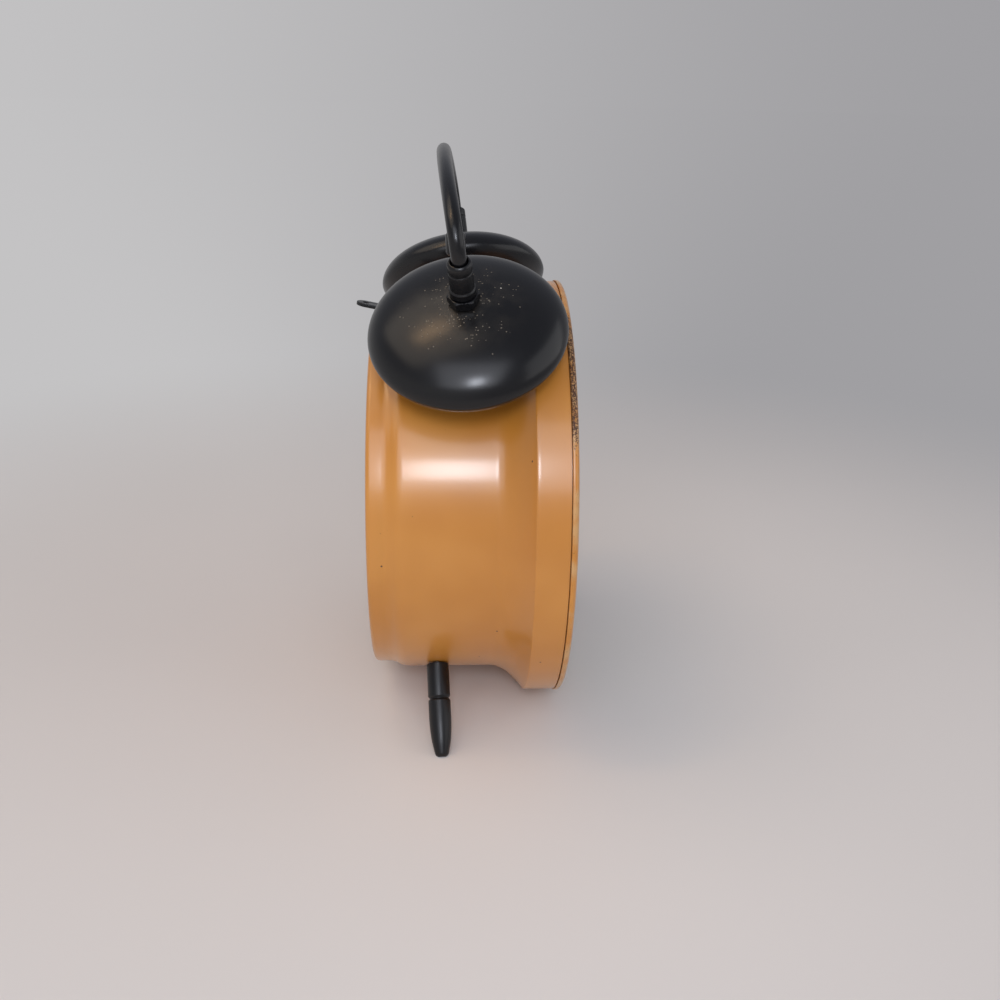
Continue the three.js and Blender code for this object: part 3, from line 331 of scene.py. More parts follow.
# Flecks: round spots of one size, one in some of the cells of a given width
def flecks(tree, where, cell, width, kept):
    cells = addNode(tree, "TexVoronoi", {"Scale": sizeOf(cell)}, {"Vector": where})
    inside = stepBetween(tree, cells.outputs["Distance"], width / cell, 0.4 * width / cell)
    lot = addNode(tree, "SeparateColor", {}, {"Color": cells.outputs["Color"]}).outputs["Red"]
    return calculate(tree, "MULTIPLY", inside, calculate(tree, "LESS_THAN", lot, kept))


# Feeds the shader its colour, a bump that is so many mm deep and, where it varies, its roughness
def dress(tree, shader, colour, height, depth, rough=None):
    bump = addNode(tree, "Bump", {"Strength": 1.0, "Distance": depth * mm}, {"Height": height}).outputs[0]
    for socket, source in (("Base Color", colour), ("Normal", bump), ("Roughness", rough)):
        if source is not None:
            tree.links.new(source, shader.inputs[socket])


# Stoved enamel on sheet steel: even mustard colour under a clear skin, faint orange peel, pinhead dark chips
enamelLook = {
    "light": "#ca8839",
    "deep": "#c17e2f",
    "patch": 30,
    "chip": "#4a2a14",
    "chipCell": 4,
    "chipWidth": 0.36,
    "chipsKept": 0.35,
    "peel": 1.4,
    "peelDepth": 0.006,
}


def enamelColour(tree, where):
    e = enamelLook
    patches = stepBetween(tree, noiseOf(tree, where, e["patch"]), 0.35, 0.65)
    colour = mixColours(tree, patches, e["light"], e["deep"])
    chips = flecks(tree, where, e["chipCell"], e["chipWidth"], e["chipsKept"])
    return mixColours(tree, chips, colour, e["chip"]), chips


def makeEnamel():
    material, tree, shader, where = newMaterial(
        "mustard_stoved_enamel", Roughness=0.34, Coat_Weight=0.6, Coat_Roughness=0.16
    )
    colour, chips = enamelColour(tree, where)
    peel = noiseOf(tree, where, enamelLook["peel"])
    dress(tree, shader, colour, calculate(tree, "SUBTRACT", peel, chips), enamelLook["peelDepth"])
    return material


# The same enamel on the bezel. A point attribute is 1 on its outer edge: worn through to pale metal there,
# and that pale gold is also a painted highlight along the rim; rusted in dark speckles on the upper left
bezelLook = {
    "rubAndSheen": "#c99a62",
    "rubAndSheenPatch": 9,
    "rust": "#20110b",
    "orangeRust": "#5e3219",
    "towards": 50,
    "spread": (0.91, 0.97),
    "rustAdded": 0.2,
    "grain": 0.4,
    "depth": 0.03,
}


def makeWornEnamel():
    b = bezelLook
    material, tree, shader, where = newMaterial("worn_and_sheened_bezel_enamel", Coat_Weight=0.4, Coat_Roughness=0.2)
    colour, _ = enamelColour(tree, where)
    rimWearAndSheen = addNode(tree, "Attribute", {"attribute_name": "rimWearAndSheen"}).outputs["Fac"]
    centred = addNode(
        tree, "Mapping", {"Location": (0, 0, -axisZ * mm), "Scale": (1, 0, 1)}, {"Vector": where}
    ).outputs[0]
    angle = math.radians(b["towards"])
    outward = addNode(tree, "VectorMath", {"operation": "NORMALIZE"}, {0: centred}).outputs[0]
    facing = addNode(
        tree,
        "VectorMath",
        {"operation": "DOT_PRODUCT", 1: (-math.cos(angle), 0, math.sin(angle))},
        {0: outward},
    ).outputs["Value"]
    near = stepBetween(tree, facing, *b["spread"])
    grain = noiseOf(tree, where, b["grain"], 5, 0.65)
    added = calculate(tree, "MULTIPLY", calculate(tree, "MULTIPLY", near, rimWearAndSheen), b["rustAdded"])
    rusted = stepBetween(tree, calculate(tree, "ADD", grain, added), 0.63, 0.69)
    # Real wear and painted highlight: pale gold in patches along the outer edge stands for bare metal and for
    # the rim's highlight
    patches = stepBetween(tree, noiseOf(tree, where, b["rubAndSheenPatch"], 3), 0.36, 0.56)
    colour = mixColours(tree, calculate(tree, "MULTIPLY", rimWearAndSheen, patches), colour, b["rubAndSheen"])
    rust = mixColours(tree, noiseOf(tree, where, 0.5), b["rust"], b["orangeRust"])
    colour = mixColours(tree, rusted, colour, rust)
    dress(tree, shader, colour, rusted, b["depth"], mapTo(tree, rusted, 0.32, 0.85))
    return material


# Satin black lacquer: near-black with a soft wide highlight, and pale dust where the attribute "dust" is high
lacquerLook = {"base": "#0b0b0e", "cloud": "#101012", "dust": "#8f8474", "fleck": "#c9c6be", "grain": 0.35}


def makeBlack(name, roughness, dusty=False):
    material, tree, shader, where = newMaterial(name, IOR=1.45)
    cloudy = noiseOf(tree, where, 12, 4)
    base = mixColours(tree, cloudy, lacquerLook["base"], lacquerLook["cloud"])
    grain = noiseOf(tree, where, lacquerLook["grain"], 3, 0.7)
    rough = mapTo(tree, cloudy, roughness - 0.04, roughness + 0.06)
    if dusty:
        amount = addNode(tree, "Attribute", {"attribute_name": "dust"}).outputs["Fac"]
        clumped = stepBetween(tree, noiseOf(tree, where, 5, 3), 0.35, 0.65)
        dusted = calculate(tree, "MULTIPLY", amount, clumped)
        specks = flecks(tree, where, 0.7, 0.22, dusted)
        haze = calculate(tree, "MULTIPLY", dusted, 0.07)
        base = mixColours(tree, haze, base, lacquerLook["dust"])
        base = mixColours(tree, calculate(tree, "MULTIPLY", specks, 0.6), base, lacquerLook["dust"])
        spots = flecks(tree, where, 4.2, 0.24, 0.18)
        base = mixColours(tree, spots, base, lacquerLook["fleck"])
        rough = calculate(tree, "ADD", rough, calculate(tree, "MULTIPLY", specks, 0.4))
    dress(tree, shader, base, grain, 0.003, rough)
    return material


# Metals: a base colour with faint tarnish, and a roughness that varies with it
def makeMetal(name, colour, tarnish, roughness):
    material, tree, shader, where = newMaterial(name, Metallic=1.0)
    stained = stepBetween(tree, noiseOf(tree, where, 4, 4, 0.6), 0.45, 0.75)
    colour = mixColours(tree, stained, colour, tarnish)
    grain = noiseOf(tree, where, 0.4, 3)
    dress(tree, shader, colour, grain, 0.003, mapTo(tree, stained, roughness, roughness + 0.2))
    return material


# Dial: cream printed paper on tin, yellowed in patches
def makePaper():
    material, tree, shader, where = newMaterial("printed_dial_paper", Roughness=0.6)
    fibres = noiseOf(tree, where, 0.6, 4, 0.7)
    yellowed = stepBetween(tree, noiseOf(tree, where, 22, 3), 0.35, 0.7)
    colour = mixColours(tree, yellowed, "#f0e8d2", "#e2d3ad")
    colour = mixColours(tree, stepBetween(tree, fibres, 0.7, 0.85), colour, "#cdbb90")
    dress(tree, shader, colour, fibres, 0.004)
    return material


# Window glass: clear, faintly green, with a few dust specks that dull it
def makeGlass():
    material, tree, shader, where = newMaterial(
        "clear_window_glass", Base_Color=linear("#f4f9f6"), IOR=1.5, Transmission_Weight=1.0
    )
    specks = flecks(tree, where, 6, 0.2, 0.25)
    haze = stepBetween(tree, noiseOf(tree, where, 18, 3), 0.5, 0.9)
    hazed, speckled = calculate(tree, "MULTIPLY", haze, 0.03), calculate(tree, "MULTIPLY", specks, 0.5)
    rough = calculate(tree, "ADD", hazed, speckled)
    tree.links.new(rough, shader.inputs["Roughness"])
    return material


# Aged luminous paint: chalky, pale green gone cream, a little crumbly
def makeLume():
    material, tree, shader, where = newMaterial("aged_luminous_paint", Roughness=0.8)
    crumbs = noiseOf(tree, where, 0.35, 3, 0.6)
    dress(tree, shader, mixColours(tree, crumbs, "#c3c598", "#e0dcbc"), crumbs, 0.02)
    return material


enamel = makeEnamel()
wornSheenedEnamel = makeWornEnamel()
bellBlack = makeBlack("satin_black_lacquer", 0.24, dusty=True)
satinBlack = makeBlack("satin_black_paint", 0.34)
glossBlack = makeBlack("gloss_black_paint", 0.24)
brass = makeMetal("lacquered_brass", "#c9a25a", "#8f6d35", 0.24)
steel = makeMetal("plated_steel", "#b4b3ae", "#7d7a73", 0.28)
blueSteel = makeMetal("blued_spring_steel", "#39435f", "#23283a", 0.26)
paper = makePaper()
glass = makeGlass()
handBlack = makeBlack("hand_black_enamel", 0.25)
ink = makeBlack("black_printing_ink", 0.6)
lume = makeLume()
print("materials made")


# Case: one drum of 1 mm steel with a front band, a hollow flare, a waist, a step and a rolled rear lip
case = {
    "bandRadius": 59.7,
    "start": 2.05,
    "bandEnd": 10.4,
    "waistRadius": 52.8,
    "flareHollow": [(58.7, 11.2), (53.3, 14.6)],
    "flareEnd": 19.6,
    "flarePoints": 16,
    "bandCut": 1.1,
    "flareCut": 0.8,
    "stepCut": 1.4,
    "stepStart": 44.8,
    "rearRadius": 51.3,
    "stepEnd": 47.5,
    "depth": 52.8,
    "wall": 1.0,
    "roll": 1.2,
    "underRoll": 2.6,
    "sides": 288,
    "hammerSlot": ((-7.0, 28.6, 48), (12.7, 31.4, 56)),
    "leverSlot": ((-5.1, 42.3, 49), (5.1, 47.8, 56)),
}


def caseSkin(inset):
    c = case
    ends = (c["bandRadius"], c["bandEnd"]), (c["waistRadius"], c["flareEnd"])
    flare = bezier([ends[0], *c["flareHollow"], ends[1]], c["flarePoints"])
    rear = [
        (c["waistRadius"], c["stepStart"]),
        (c["rearRadius"], c["stepEnd"]),
        (c["rearRadius"], c["depth"] - c["roll"]),
    ]
    cuts = [0, c["bandCut"]] + [0] * (c["flarePoints"] - 2) + [c["flareCut"], c["stepCut"], c["stepCut"], 0]
    return rounded(np.vstack([[(c["bandRadius"], c["start"])], flare, rear]), cuts) - [inset, 0]


def makeCase():
    c = case
    middle = c["rearRadius"] - c["roll"], c["depth"] - c["roll"]
    lip = arcOf(c["roll"], *middle, 0, 225, 14)[1:]  # it rolls in past its half turn
    underLip = [[c["rearRadius"] - c["wall"], c["depth"] - c["underRoll"]]]
    profile = np.vstack([caseSkin(0), lip, underLip, caseSkin(c["wall"])[:-1][::-1]])
    return turnedPiece("caseShell", profile, sides=c["sides"], closed=True)


# Holes in the roof: the slot for the hammer arm and the slot for the stop lever
def roofCutter(name, low, high):
    x, y, z = zip(low, high)
    flat = [(x[0], z[0]), (x[1], z[0]), (x[1], z[1]), (x[0], z[1])]
    return prisms(name, [[(u, v, w) for v in y for u, w in flat]], dialPlace)


shell = makeCase()
cutAway(shell, *(roofCutter(slot, *case[slot]) for slot in ("hammerSlot", "leverSlot")))
standsFor(shell, "root", "case_enamel", enamel, "case_shell")
print("case made")


# Bezel ring: rounded rim, lip over the glass and a collar inside the band
bezel = {
    "radius": 60.0,
    "depth": 1.75,
    "window": 54.6,
    "collar": 58.4,
    "collarEnd": 4.35,
    "glassSeat": 57.3,
    "lipBack": 1.15,
    "wornAndSheenFrom": 58.6,
    "wornAndSheenOver": 0.9,
}


def makeBezel():
    b = bezel
    corners = [
        (b["window"], b["lipBack"]),
        (b["window"], 0.45),
        (b["window"] + 0.9, 0.0),
        (b["radius"] - 1.0, 0.0),
        (b["radius"], 0.7),
        (b["radius"], b["depth"]),
        (b["collar"], b["depth"]),
        (b["collar"], b["collarEnd"]),
        (b["glassSeat"], b["collarEnd"]),
        (b["glassSeat"], b["lipBack"]),
    ]
    cuts = [0.2, 0.4, 0.5, 1.0, 0.5, 0.25, 0, 0.2, 0.2, 0]
    ring = turnedPiece("bezelRing", rounded(corners, cuts, closed=True), sides=case["sides"], closed=True)
    x, y, z = ((pointsOf(ring.data) / mm) - dialPlace[1]).T
    # The outer edge of the front is marked for worn bare metal and for the painted rim highlight
    rimWearAndSheen = np.clip((np.hypot(x, z) - b["wornAndSheenFrom"]) / b["wornAndSheenOver"], 0, 1)
    markPoints(ring, "rimWearAndSheen", rimWearAndSheen * (y < b["depth"] + 0.1))
    standsFor(ring, "root", "case_enamel", wornSheenedEnamel, "bezel_ring")


makeBezel()
print("bezel made")


# Bells: a quarter ellipse whose rim curls in below its widest circle, on posts that splay and lean back
bell = {
    "splay": 33.4,
    "lean": 6.0,
    "postDepth": 25.8,
    "postRadius": 52.0,
    "radius": 24.95,
    "rimRadius": 20.3,
    "rim": 7.7,
    "widest": 13.3,
    "crown": 23.7,
    "curl": 1.5,
    "wall": 1.0,
    "bore": 2.3,
}
nut = {"across": 7.0, "start": 24.0, "height": 2.4, "chamfer": 0.5}
ferrule = {"start": 26.7, "shoulder": 3.25, "shoulderHeight": 1.7, "radius": 2.95, "top": 36.6, "bore": 2.15}


# The place of what stands on the drum (up = 1) or below it (up = -1), splayed to a side and leaning back
def placeOnDrum(side, up, splay, lean, depth, radius):
    splay, lean = math.radians(splay), math.radians(lean)
    out = np.array([side * math.sin(splay), 0, up * math.cos(splay)])
    return placeAlong(radius * out + [0, depth, 0], math.cos(lean) * out + [0, math.sin(lean), 0])


def postPlace(side):
    return placeOnDrum(side, 1, bell["splay"], bell["lean"], bell["postDepth"], bell["postRadius"])


# Dome: radius R cos t, height H sin t above the widest circle. Below it the radius shrinks by share ^ curl
def bellSkin(inset):
    t = np.linspace(0, 1.46, 48)
    height = bell["crown"] - bell["widest"] - inset
    dome = np.stack([(bell["radius"] - inset) * np.cos(t), bell["widest"] + height * np.sin(t)], 1)
    share = np.linspace(1, 0, 14)[:-1]
    drawnIn = (bell["radius"] - bell["rimRadius"]) * share ** bell["curl"]
    drop = (bell["widest"] - bell["rim"]) * share
    rim = np.stack([bell["radius"] - inset - drawnIn, bell["widest"] - drop], 1)
    return np.vstack([rim, dome, [[bell["bore"], bell["crown"] - inset]]])


def hexagonLimit(across):  # distance to the flat in each direction
    return lambda angles: across / 2 / np.cos((angles % (math.pi / 3)) - math.pi / 6)


def makeBell(name, side):
    place = postPlace(side)
    profile = np.vstack([bellSkin(0), bellSkin(bell["wall"])[::-1]])
    dome = turnedPiece(f"bell{name.title()}", profile, place, sides=160, closed=True)
    local = (pointsOf(dome.data) / mm - place[1]) @ place[0]
    out = np.hypot(local[:, 0], local[:, 2])
    dust = np.clip(1.2 - out / 14, 0, 1)  # thick round the nut, gone two thirds of the way down the dome
    markPoints(dome, "dust", dust)
    standsFor(dome, "root", "black_enamel", bellBlack, f"bell_{name}")

    n = nut
    top, corner = n["start"] + n["height"], n["across"] / 2 / math.cos(math.pi / 6)
    hexProfile = [
        (bell["bore"], n["start"]),
        (corner - n["chamfer"], n["start"]),
        (corner + 0.1, n["start"] + 0.45),
        (corner + 0.1, top - 0.45),
        (corner - n["chamfer"], top),
        (bell["bore"], top),
    ]
    flats, hexProfile = hexagonLimit(n["across"]), rounded(hexProfile, 0.15, closed=True, steps=3)
    hexNut = turnedPiece(f"bellNut{name.title()}", hexProfile, place, 120, closed=True, limit=flats, sharp=25)
    standsFor(hexNut, "root", "gloss_black", glossBlack, f"bell_nut_{name}")

    f = ferrule
    sleeve = [
        (0, f["start"] + 3.7),
        (f["bore"], f["start"] + 3.7),
        (f["bore"], f["start"]),
        (f["shoulder"], f["start"]),
        (f["shoulder"], f["start"] + f["shoulderHeight"]),
        (f["radius"], f["start"] + f["shoulderHeight"] + 0.25),
        (f["radius"], f["top"] - 3.1),
        (f["radius"] - 0.25, f["top"] - 2.9),
        (f["radius"], f["top"] - 2.7),
        (f["radius"], f["top"] - 0.5),
        (f["radius"] - 0.5, f["top"]),
        (f["bore"], f["top"]),
        (f["bore"], f["start"] + 4.6),
        (0, f["start"] + 4.6),
    ]
    cap = turnedPiece(f"ferrule{name.title()}", rounded(sleeve, 0.22, steps=4), place, sides=64)
    standsFor(cap, "root", "gloss_black", glossBlack, f"ferrule_{name}")


for bellName, bellSide in bothSides.items():
    makeBell(bellName, bellSide)
print("bells made")


# Handle: a 3.7 mm bar that leaves each ferrule along its post and arches over the bells
handle = {"radius": 1.85, "inFerrule": 31.9, "top": 94.6, "topDepth": 33.2, "legPull": 13.0, "topPull": 30.0}


def makeHandle():
    def onPost(side, height):
        return putInPlace(np.array([[0, height, 0]]), postPlace(side))[0]

    h = handle
    top = dialPlace[1] + np.array([0, h["topDepth"], h["top"]])
    heights = (h["inFerrule"], ferrule["top"], ferrule["top"] + h["legPull"])
    legs = {side: [onPost(side, height) for height in heights] for side in (-1, 1)}
    pulls = {side: top + np.array([side * h["topPull"], 0, 0]) for side in (-1, 1)}
    path = np.vstack(
        [
            np.linspace(legs[-1][0], legs[-1][1], 12)[:-1],
            bezier([legs[-1][1], legs[-1][2], pulls[-1], top], 60)[:-1],
            bezier([top, pulls[1], legs[1][2], legs[1][1]], 60)[:-1],
            np.linspace(legs[1][1], legs[1][0], 12),
        ]
    )
    grip = tubePiece("carryHandle", path, h["radius"], side=[0, 1.0, 0], sides=40)
    standsFor(grip, "root", "gloss_black", glossBlack, "handle")


makeHandle()
print("handle made")


# Feet: a grooved pin that narrows to its tip, cut flat where it stands
foot = {
    "splay": 40.1,
    "lean": -2.96,
    "depth": 35.0,
    "radius": 3.08,
    "length": 26.0,
    "tip": 1.7,
    "groove": 0.38,
    "grooveDepth": 0.5,
    "taper": 0.67,
    "start": 0.31,
}


def makeFoot(name, side):
    f = foot
    long = f["length"] - f["start"]
    groove, taper = f["start"] + f["groove"] * long, f["start"] + f["taper"] * long
    corners = [
        (0, -5.6),
        (1.5, -5.6),
        (1.5, f["start"]),
        (f["radius"], f["start"]),
        (f["radius"], groove - 0.55),
        (f["radius"] - f["grooveDepth"], groove),
        (f["radius"], groove + 0.55),
        (f["radius"], taper),
        ((f["radius"] + f["tip"]) / 2 + 0.25, (taper + f["length"]) / 2),
        (f["tip"] + 0.12, f["length"] - 0.6),
        (f["tip"] - 0.5, f["length"]),
        (0, f["length"]),
    ]
    cuts = [0, 0.2, 0, 0.25, 0.25, 0.2, 0.25, 2.5, 1.5, 0.4, 0.3, 0]
    place = placeOnDrum(side, -1, f["splay"], f["lean"], f["depth"], case["waistRadius"])
    pin = turnedPiece(f"foot{name.title()}", rounded(corners, cuts), place, sides=64)
    points = pointsOf(pin.data)
    points[:, 2] = np.maximum(points[:, 2], 0)  # the floor flattens the tip
    pin.data.vertices.foreach_set("co", points.ravel())
    standsFor(pin, "root", "black_enamel", satinBlack, f"foot_{name}")


for footName, footSide in bothSides.items():
    makeFoot(footName, footSide)
print("feet made")


# Hammer head: a turned striker with softened rims, on the end of its wire
hammer = {
    "radius": 2.75,
    "height": 6.4,
    "centre": (0.0, 70.7),
    "pivot": (9.109, 20.022),
    "depth": 30.0,
    "bore": 1.1,
}


def makeHammer():
    h = hammer
    half = h["height"] / 2
    corners = [
        (0, 0.3),
        (h["bore"], 0.3),
        (h["bore"], -half),
        (h["radius"] - 0.5, -half),
        (h["radius"], 0.7 - half),
        (h["radius"], half - 0.9),
        (h["radius"] - 0.7, half),
        (0, half),
    ]
    line = (h["centre"][0] - h["pivot"][0], 0, h["centre"][1] - h["pivot"][1])
    place = placeAlong((h["centre"][0], h["depth"], h["centre"][1]), line)
    head = turnedPiece("hammerHead", rounded(corners, [0, 0, 0.1, 0.3, 0.4, 0.5, 0.5, 0]), place, sides=64)
    standsFor(head, "hammer", "gloss_black", glossBlack, "hammer_head")


makeHammer()


# Stop lever: a blackened strip with round ends and a small hole near its tip, sloping up under the roof
lever = {
    "pivotDepth": 38.0,
    "tipDepth": 57.3,
    "tipHeight": 54.3,
    "slope": 11.0,
    "width": 5.0,
    "thickness": 0.9,
    "tail": 4.0,
    "rivetHole": 1.15,
    "tipHole": 0.8,
}


def makeLever():
    v = lever
    slope, half = math.radians(v["slope"]), v["width"] / 2
    reach = (v["tipDepth"] - v["pivotDepth"]) / math.cos(slope)
    tip = arcOf(half, 0, reach - half, 0, 180, 25)
    tail = arcOf(half, 0, half - v["tail"], 180, 360, 25)
    height = v["tipHeight"] - (v["tipDepth"] - v["pivotDepth"]) * math.tan(slope)
    along = np.array([0, math.cos(slope), math.sin(slope)])
    over = np.array([0, -math.sin(slope), math.cos(slope)])
    turn = np.stack([[1, 0, 0], over, along], 1)  # local z runs up the strip, local y through its thickness
    place = (turn, dialPlace[1] + np.array([0, v["pivotDepth"], height]))
    outlines = [np.vstack([tip, tail]), circle(v["rivetHole"]), circle(v["tipHole"], 0, reach - half)]
    strip = sheetPiece("stopLever", outlines, -v["thickness"] / 2, v["thickness"] / 2, place, edge=0.15)
    standsFor(strip, "stop_lever_arm", "gloss_black", glossBlack, "stop_lever")


makeLever()
print("hammer and lever made")


# Back plate: flat sheet with a soft edge, a notch for the lever, round holes and the regulator's slot
back = {
    "radius": 51.5,
    "front": 43.4,
    "back": 44.2,
    "edge": 0.15,
    "notchHalf": 5.1,
    "notchFloor": 46.99,
    "screwCircle": 38.5,
    "screwAngles": (35, 145, 245, 295),
    "screwHole": 1.5,
    "keyAt": (18.5, -10.0),
    "keyHole": 1.8,
    "knobAt": (0.0, -16.0),
    "shaftHole": 1.05,
}
regulator = {
    "at": (1.890, 26.995),
    "reach": 11.0,
    "tabHalf": 1.0,
    "tabThickness": 1.0,
    "tabEnd": 47.6,
    "swing": 25.0,
    "front": 34.1,
    "thickness": 1.0,
    "ring": 3.2,
    "bore": 1.75,
}


def screwPlaces():
    a = np.radians(back["screwAngles"])
    return np.stack([np.cos(a), np.sin(a)], 1) * back["screwCircle"]


def makeBackPlate():
    b, g = back, regulator
    corner = math.degrees(math.asin(b["notchHalf"] / b["radius"]))
    notch = [[-b["notchHalf"], b["notchFloor"]], [b["notchHalf"], b["notchFloor"]]]
    rim = np.vstack([notch, arcOf(b["radius"], 0, 0, 90 - corner, -270 + corner, 220)])
    slotHalf = g["swing"] + math.degrees((g["tabHalf"] + 0.6) / g["reach"])
    margin = g["tabThickness"] / 2 + 0.6
    slot = np.vstack(
        [
            arcOf(g["reach"] + margin, *g["at"], 90 - slotHalf, 90 + slotHalf),
            arcOf(g["reach"] - margin, *g["at"], 90 + slotHalf, 90 - slotHalf),
        ]
    )
    x, z = b["keyAt"]
    holes = [circle(b["screwHole"], *place) for place in screwPlaces()]
    holes += [circle(b["keyHole"], -x, z), circle(b["keyHole"], x, z)]
    holes += [circle(b["shaftHole"]), circle(b["shaftHole"], *b["knobAt"])]
    plate = sheetPiece("backPlate", [rim, slot, *holes], b["front"], b["back"], edge=b["edge"])
    standsFor(plate, "root", "case_enamel", enamel, "back_plate")


makeBackPlate()
print("back plate made")


# Back screws: slotted cheese heads with a soft rim, on plain shanks
screw = {
    "radius": 1.2,
    "length": 7.0,
    "head": 2.5,
    "headFront": 44.5,
    "headHeight": 1.2,
    "slot": (0.7, 0.6),
    "crown": 0.15,
}


def makeScrews():
    s = screw
    top = s["headFront"] + s["headHeight"]
    corners = [
        (0, s["headFront"] - s["length"]),
        (s["radius"], s["headFront"] - s["length"]),
        (s["radius"], s["headFront"]),
        (s["head"], s["headFront"]),
        (s["head"], top - 0.25),
        (s["head"] - 0.5, top - s["crown"] / 2),
        (0, top),
    ]
    profile = rounded(corners, [0, 0.2, 0, 0.15, 0.3, 0.4, 0])
    long, half = s["head"] * 2, s["slot"][0] / 2
    flat = np.array([[-long, -half], [long, -half], [long, half], [-long, half]])
    for i, (x, z) in enumerate(screwPlaces()):
        turn = math.radians(25 + 47 * i)  # slots stand as they were left
        place = onDial(x, z)
        body = turnedPiece(f"backScrew{i + 1}", profile, place, sides=48)
        spin = np.array([[math.cos(turn), math.sin(turn)], [-math.sin(turn), math.cos(turn)]])
        corner = [(p[0], y, p[1]) for y in (top - s["slot"][1], top + 1) for p in flat @ spin]
        cutAway(body, prisms(f"slot{i}", [corner], place))
        standsFor(body, "root", "steel", steel, f"back_screw_{i + 1}")


makeScrews()
print("screws made")


# Keys: a turned hub with a pair of rounded wings, as pressed brass keys have
key = {
    "hub": 3.0,
    "neck": 2.5,
    "front": 44.5,
    "back": 53.7,
    "span": 17.0,
    "wingHalf": 2.944,
    "lobe": 4.0,
    "thickness": 1.8,
    "edge": 0.45,
    "bore": 1.75,
    "boreEnd": 49.1,
    "eye": 1.25,
}
edgeOn = np.array([[1.0, 0, 0], [0, 0, 1.0], [0, -1.0, 0]])  # a sheet's z runs back along the depth


def joinTo(piece, *others):  # one closed body from pieces that overlap
    return cutAway(piece, *others, operation="UNION")


# Wings: two superellipse lobes, x = a cos^p and depth = b sin^p about each one's middle, that meet at the hub
def makeKey(name, x, z, body):
    k = key
    middle = k["back"] - k["wingHalf"]
    t = np.linspace(-0.86 * math.pi, 0.86 * math.pi, 60)
    lobe = np.stack(
        [
            k["span"] / 2 - k["lobe"] + k["lobe"] * np.sign(np.cos(t)) * np.abs(np.cos(t)) ** 0.9,
            middle + k["wingHalf"] * np.sign(np.sin(t)) * np.abs(np.sin(t)) ** 0.9,
        ],
        1,
    )
    outline = np.vstack([lobe, (lobe * [-1, 1])[::-1]])
    eyes = [circle(k["eye"], side * (k["span"] / 2 - k["lobe"] + 0.5), middle, 32) for side in (-1, 1)]
    half, place = k["thickness"] / 2, onDial(x, z)
    wings = sheetPiece(f"{name}Key", [outline, *eyes], -half, half, (edgeOn, place[1]), k["edge"])
    corners = [
        (k["bore"], k["front"]),
        (k["hub"], k["front"]),
        (k["hub"], k["front"] + 1.6),
        (k["neck"], k["front"] + 2.2),
        (k["neck"], middle - 0.8),
        (k["neck"] - 0.7, middle),
        (0, middle),
        (0, k["boreEnd"]),
        (k["bore"], k["boreEnd"]),
    ]
    hub = turnedPiece("hub", rounded(corners, [0.1, 0.3, 0.3, 0.5, 0.6, 0.5, 0, 0, 0]), place, sides=64)
    joinTo(wings, hub)
    standsFor(wings, body, "brass", brass, f"{name}_key")


makeKey("time", -back["keyAt"][0], back["keyAt"][1], "time_winder")
makeKey("alarm", back["keyAt"][0], back["keyAt"][1], "alarm_winder")
print("keys made")


# Setting knobs: a milled grip over a plain collar, its end face dished
knob = {"front": 44.5, "grip": 45.8, "back": 49.7, "bore": 1.0, "boreEnd": 48.7, "milling": 0.45}
knobKinds = {
    "time": {"radius": 6.5, "ribs": 36, "x": 0.0, "z": 0.0, "body": "centre_shaft"},
    "alarm": {"radius": 5.0, "ribs": 28, "x": 0.0, "z": -16.0, "body": "alarm_setter"},
}


# Milled rim: the radius falls by milling * (1 - |cos(ribs a / 2)|) between the ribs
def milledLimit(radius, ribs):
    return lambda angles: radius - knob["milling"] * (1 - np.abs(np.cos(ribs * angles / 2)))


def makeKnob(name, radius, ribs, x, z, body):
    k = knob
    corners = [
        (0, k["boreEnd"]),
        (k["bore"], k["boreEnd"]),
        (k["bore"], k["front"]),
        (radius / 2, k["front"]),
        (radius / 2, k["grip"]),
        (radius - 0.5, k["grip"]),
        (radius, k["grip"] + 0.5),
        (radius, k["back"] - 0.6),
        (radius - 0.7, k["back"]),
        (radius - 1.7, k["back"]),
        (radius - 2.3, k["back"] - 0.35),
        (0, k["back"] - 0.2),
    ]
    cuts = [0, 0, 0.1, 0.15, 0.2, 0.1, 0.2, 0.25, 0.3, 0.3, 0.4, 0]
    profile, milled = rounded(corners, cuts), milledLimit(radius, ribs)
    grip = turnedPiece(f"{name}Knob", profile, onDial(x, z), sides=ribs * 10, limit=milled)
    standsFor(grip, body, "brass", brass, f"{name}_knob")


for knobName, kind in knobKinds.items():
    makeKnob(knobName, **kind)
print("knobs made")


# Regulator: a ring and arm inside, with a bent tab that comes out through the slot
def makeRegulator():
    g = regulator
    x, z = g["at"]
    half = g["tabHalf"]
    rise = math.degrees(math.asin(half / g["ring"]))
    top = z + g["reach"] + half / 2
    ring = arcOf(g["ring"], x, z, 90 + rise, 450 - rise, 60)
    outlines = [np.vstack([ring, [[x + half, top], [x - half, top]]]), circle(g["bore"], x, z)]
    arm = sheetPiece("regulatorLever", outlines, g["front"], g["front"] + g["thickness"], edge=0.1)
    start, end = g["front"] + g["thickness"] / 2, g["tabEnd"] - half
    tip = np.vstack([[[half, start], [half, end]], arcOf(half, 0, end, 0, 180, 16), [[-half, start]]])
    place = (edgeOn, onDial(x, z + g["reach"])[1])
    tab = sheetPiece("tab", [tip], -g["tabThickness"] / 2, g["tabThickness"] / 2, place, edge=0.12)
    joinTo(arm, tab)
    standsFor(arm, "regulator", "brass", brass, "regulator_lever")


makeRegulator()
print("regulator made")


# Posts: a plain sleeve that carries the bell off the roof, on a threaded rod
post = {
    "thread": 2.0,
    "sleeve": 3.2,
    "bottom": -6.05,
    "start": 1.29,
    "sleeveEnd": 22.4,
    "top": 30.1,
    "pitch": 0.8,
}


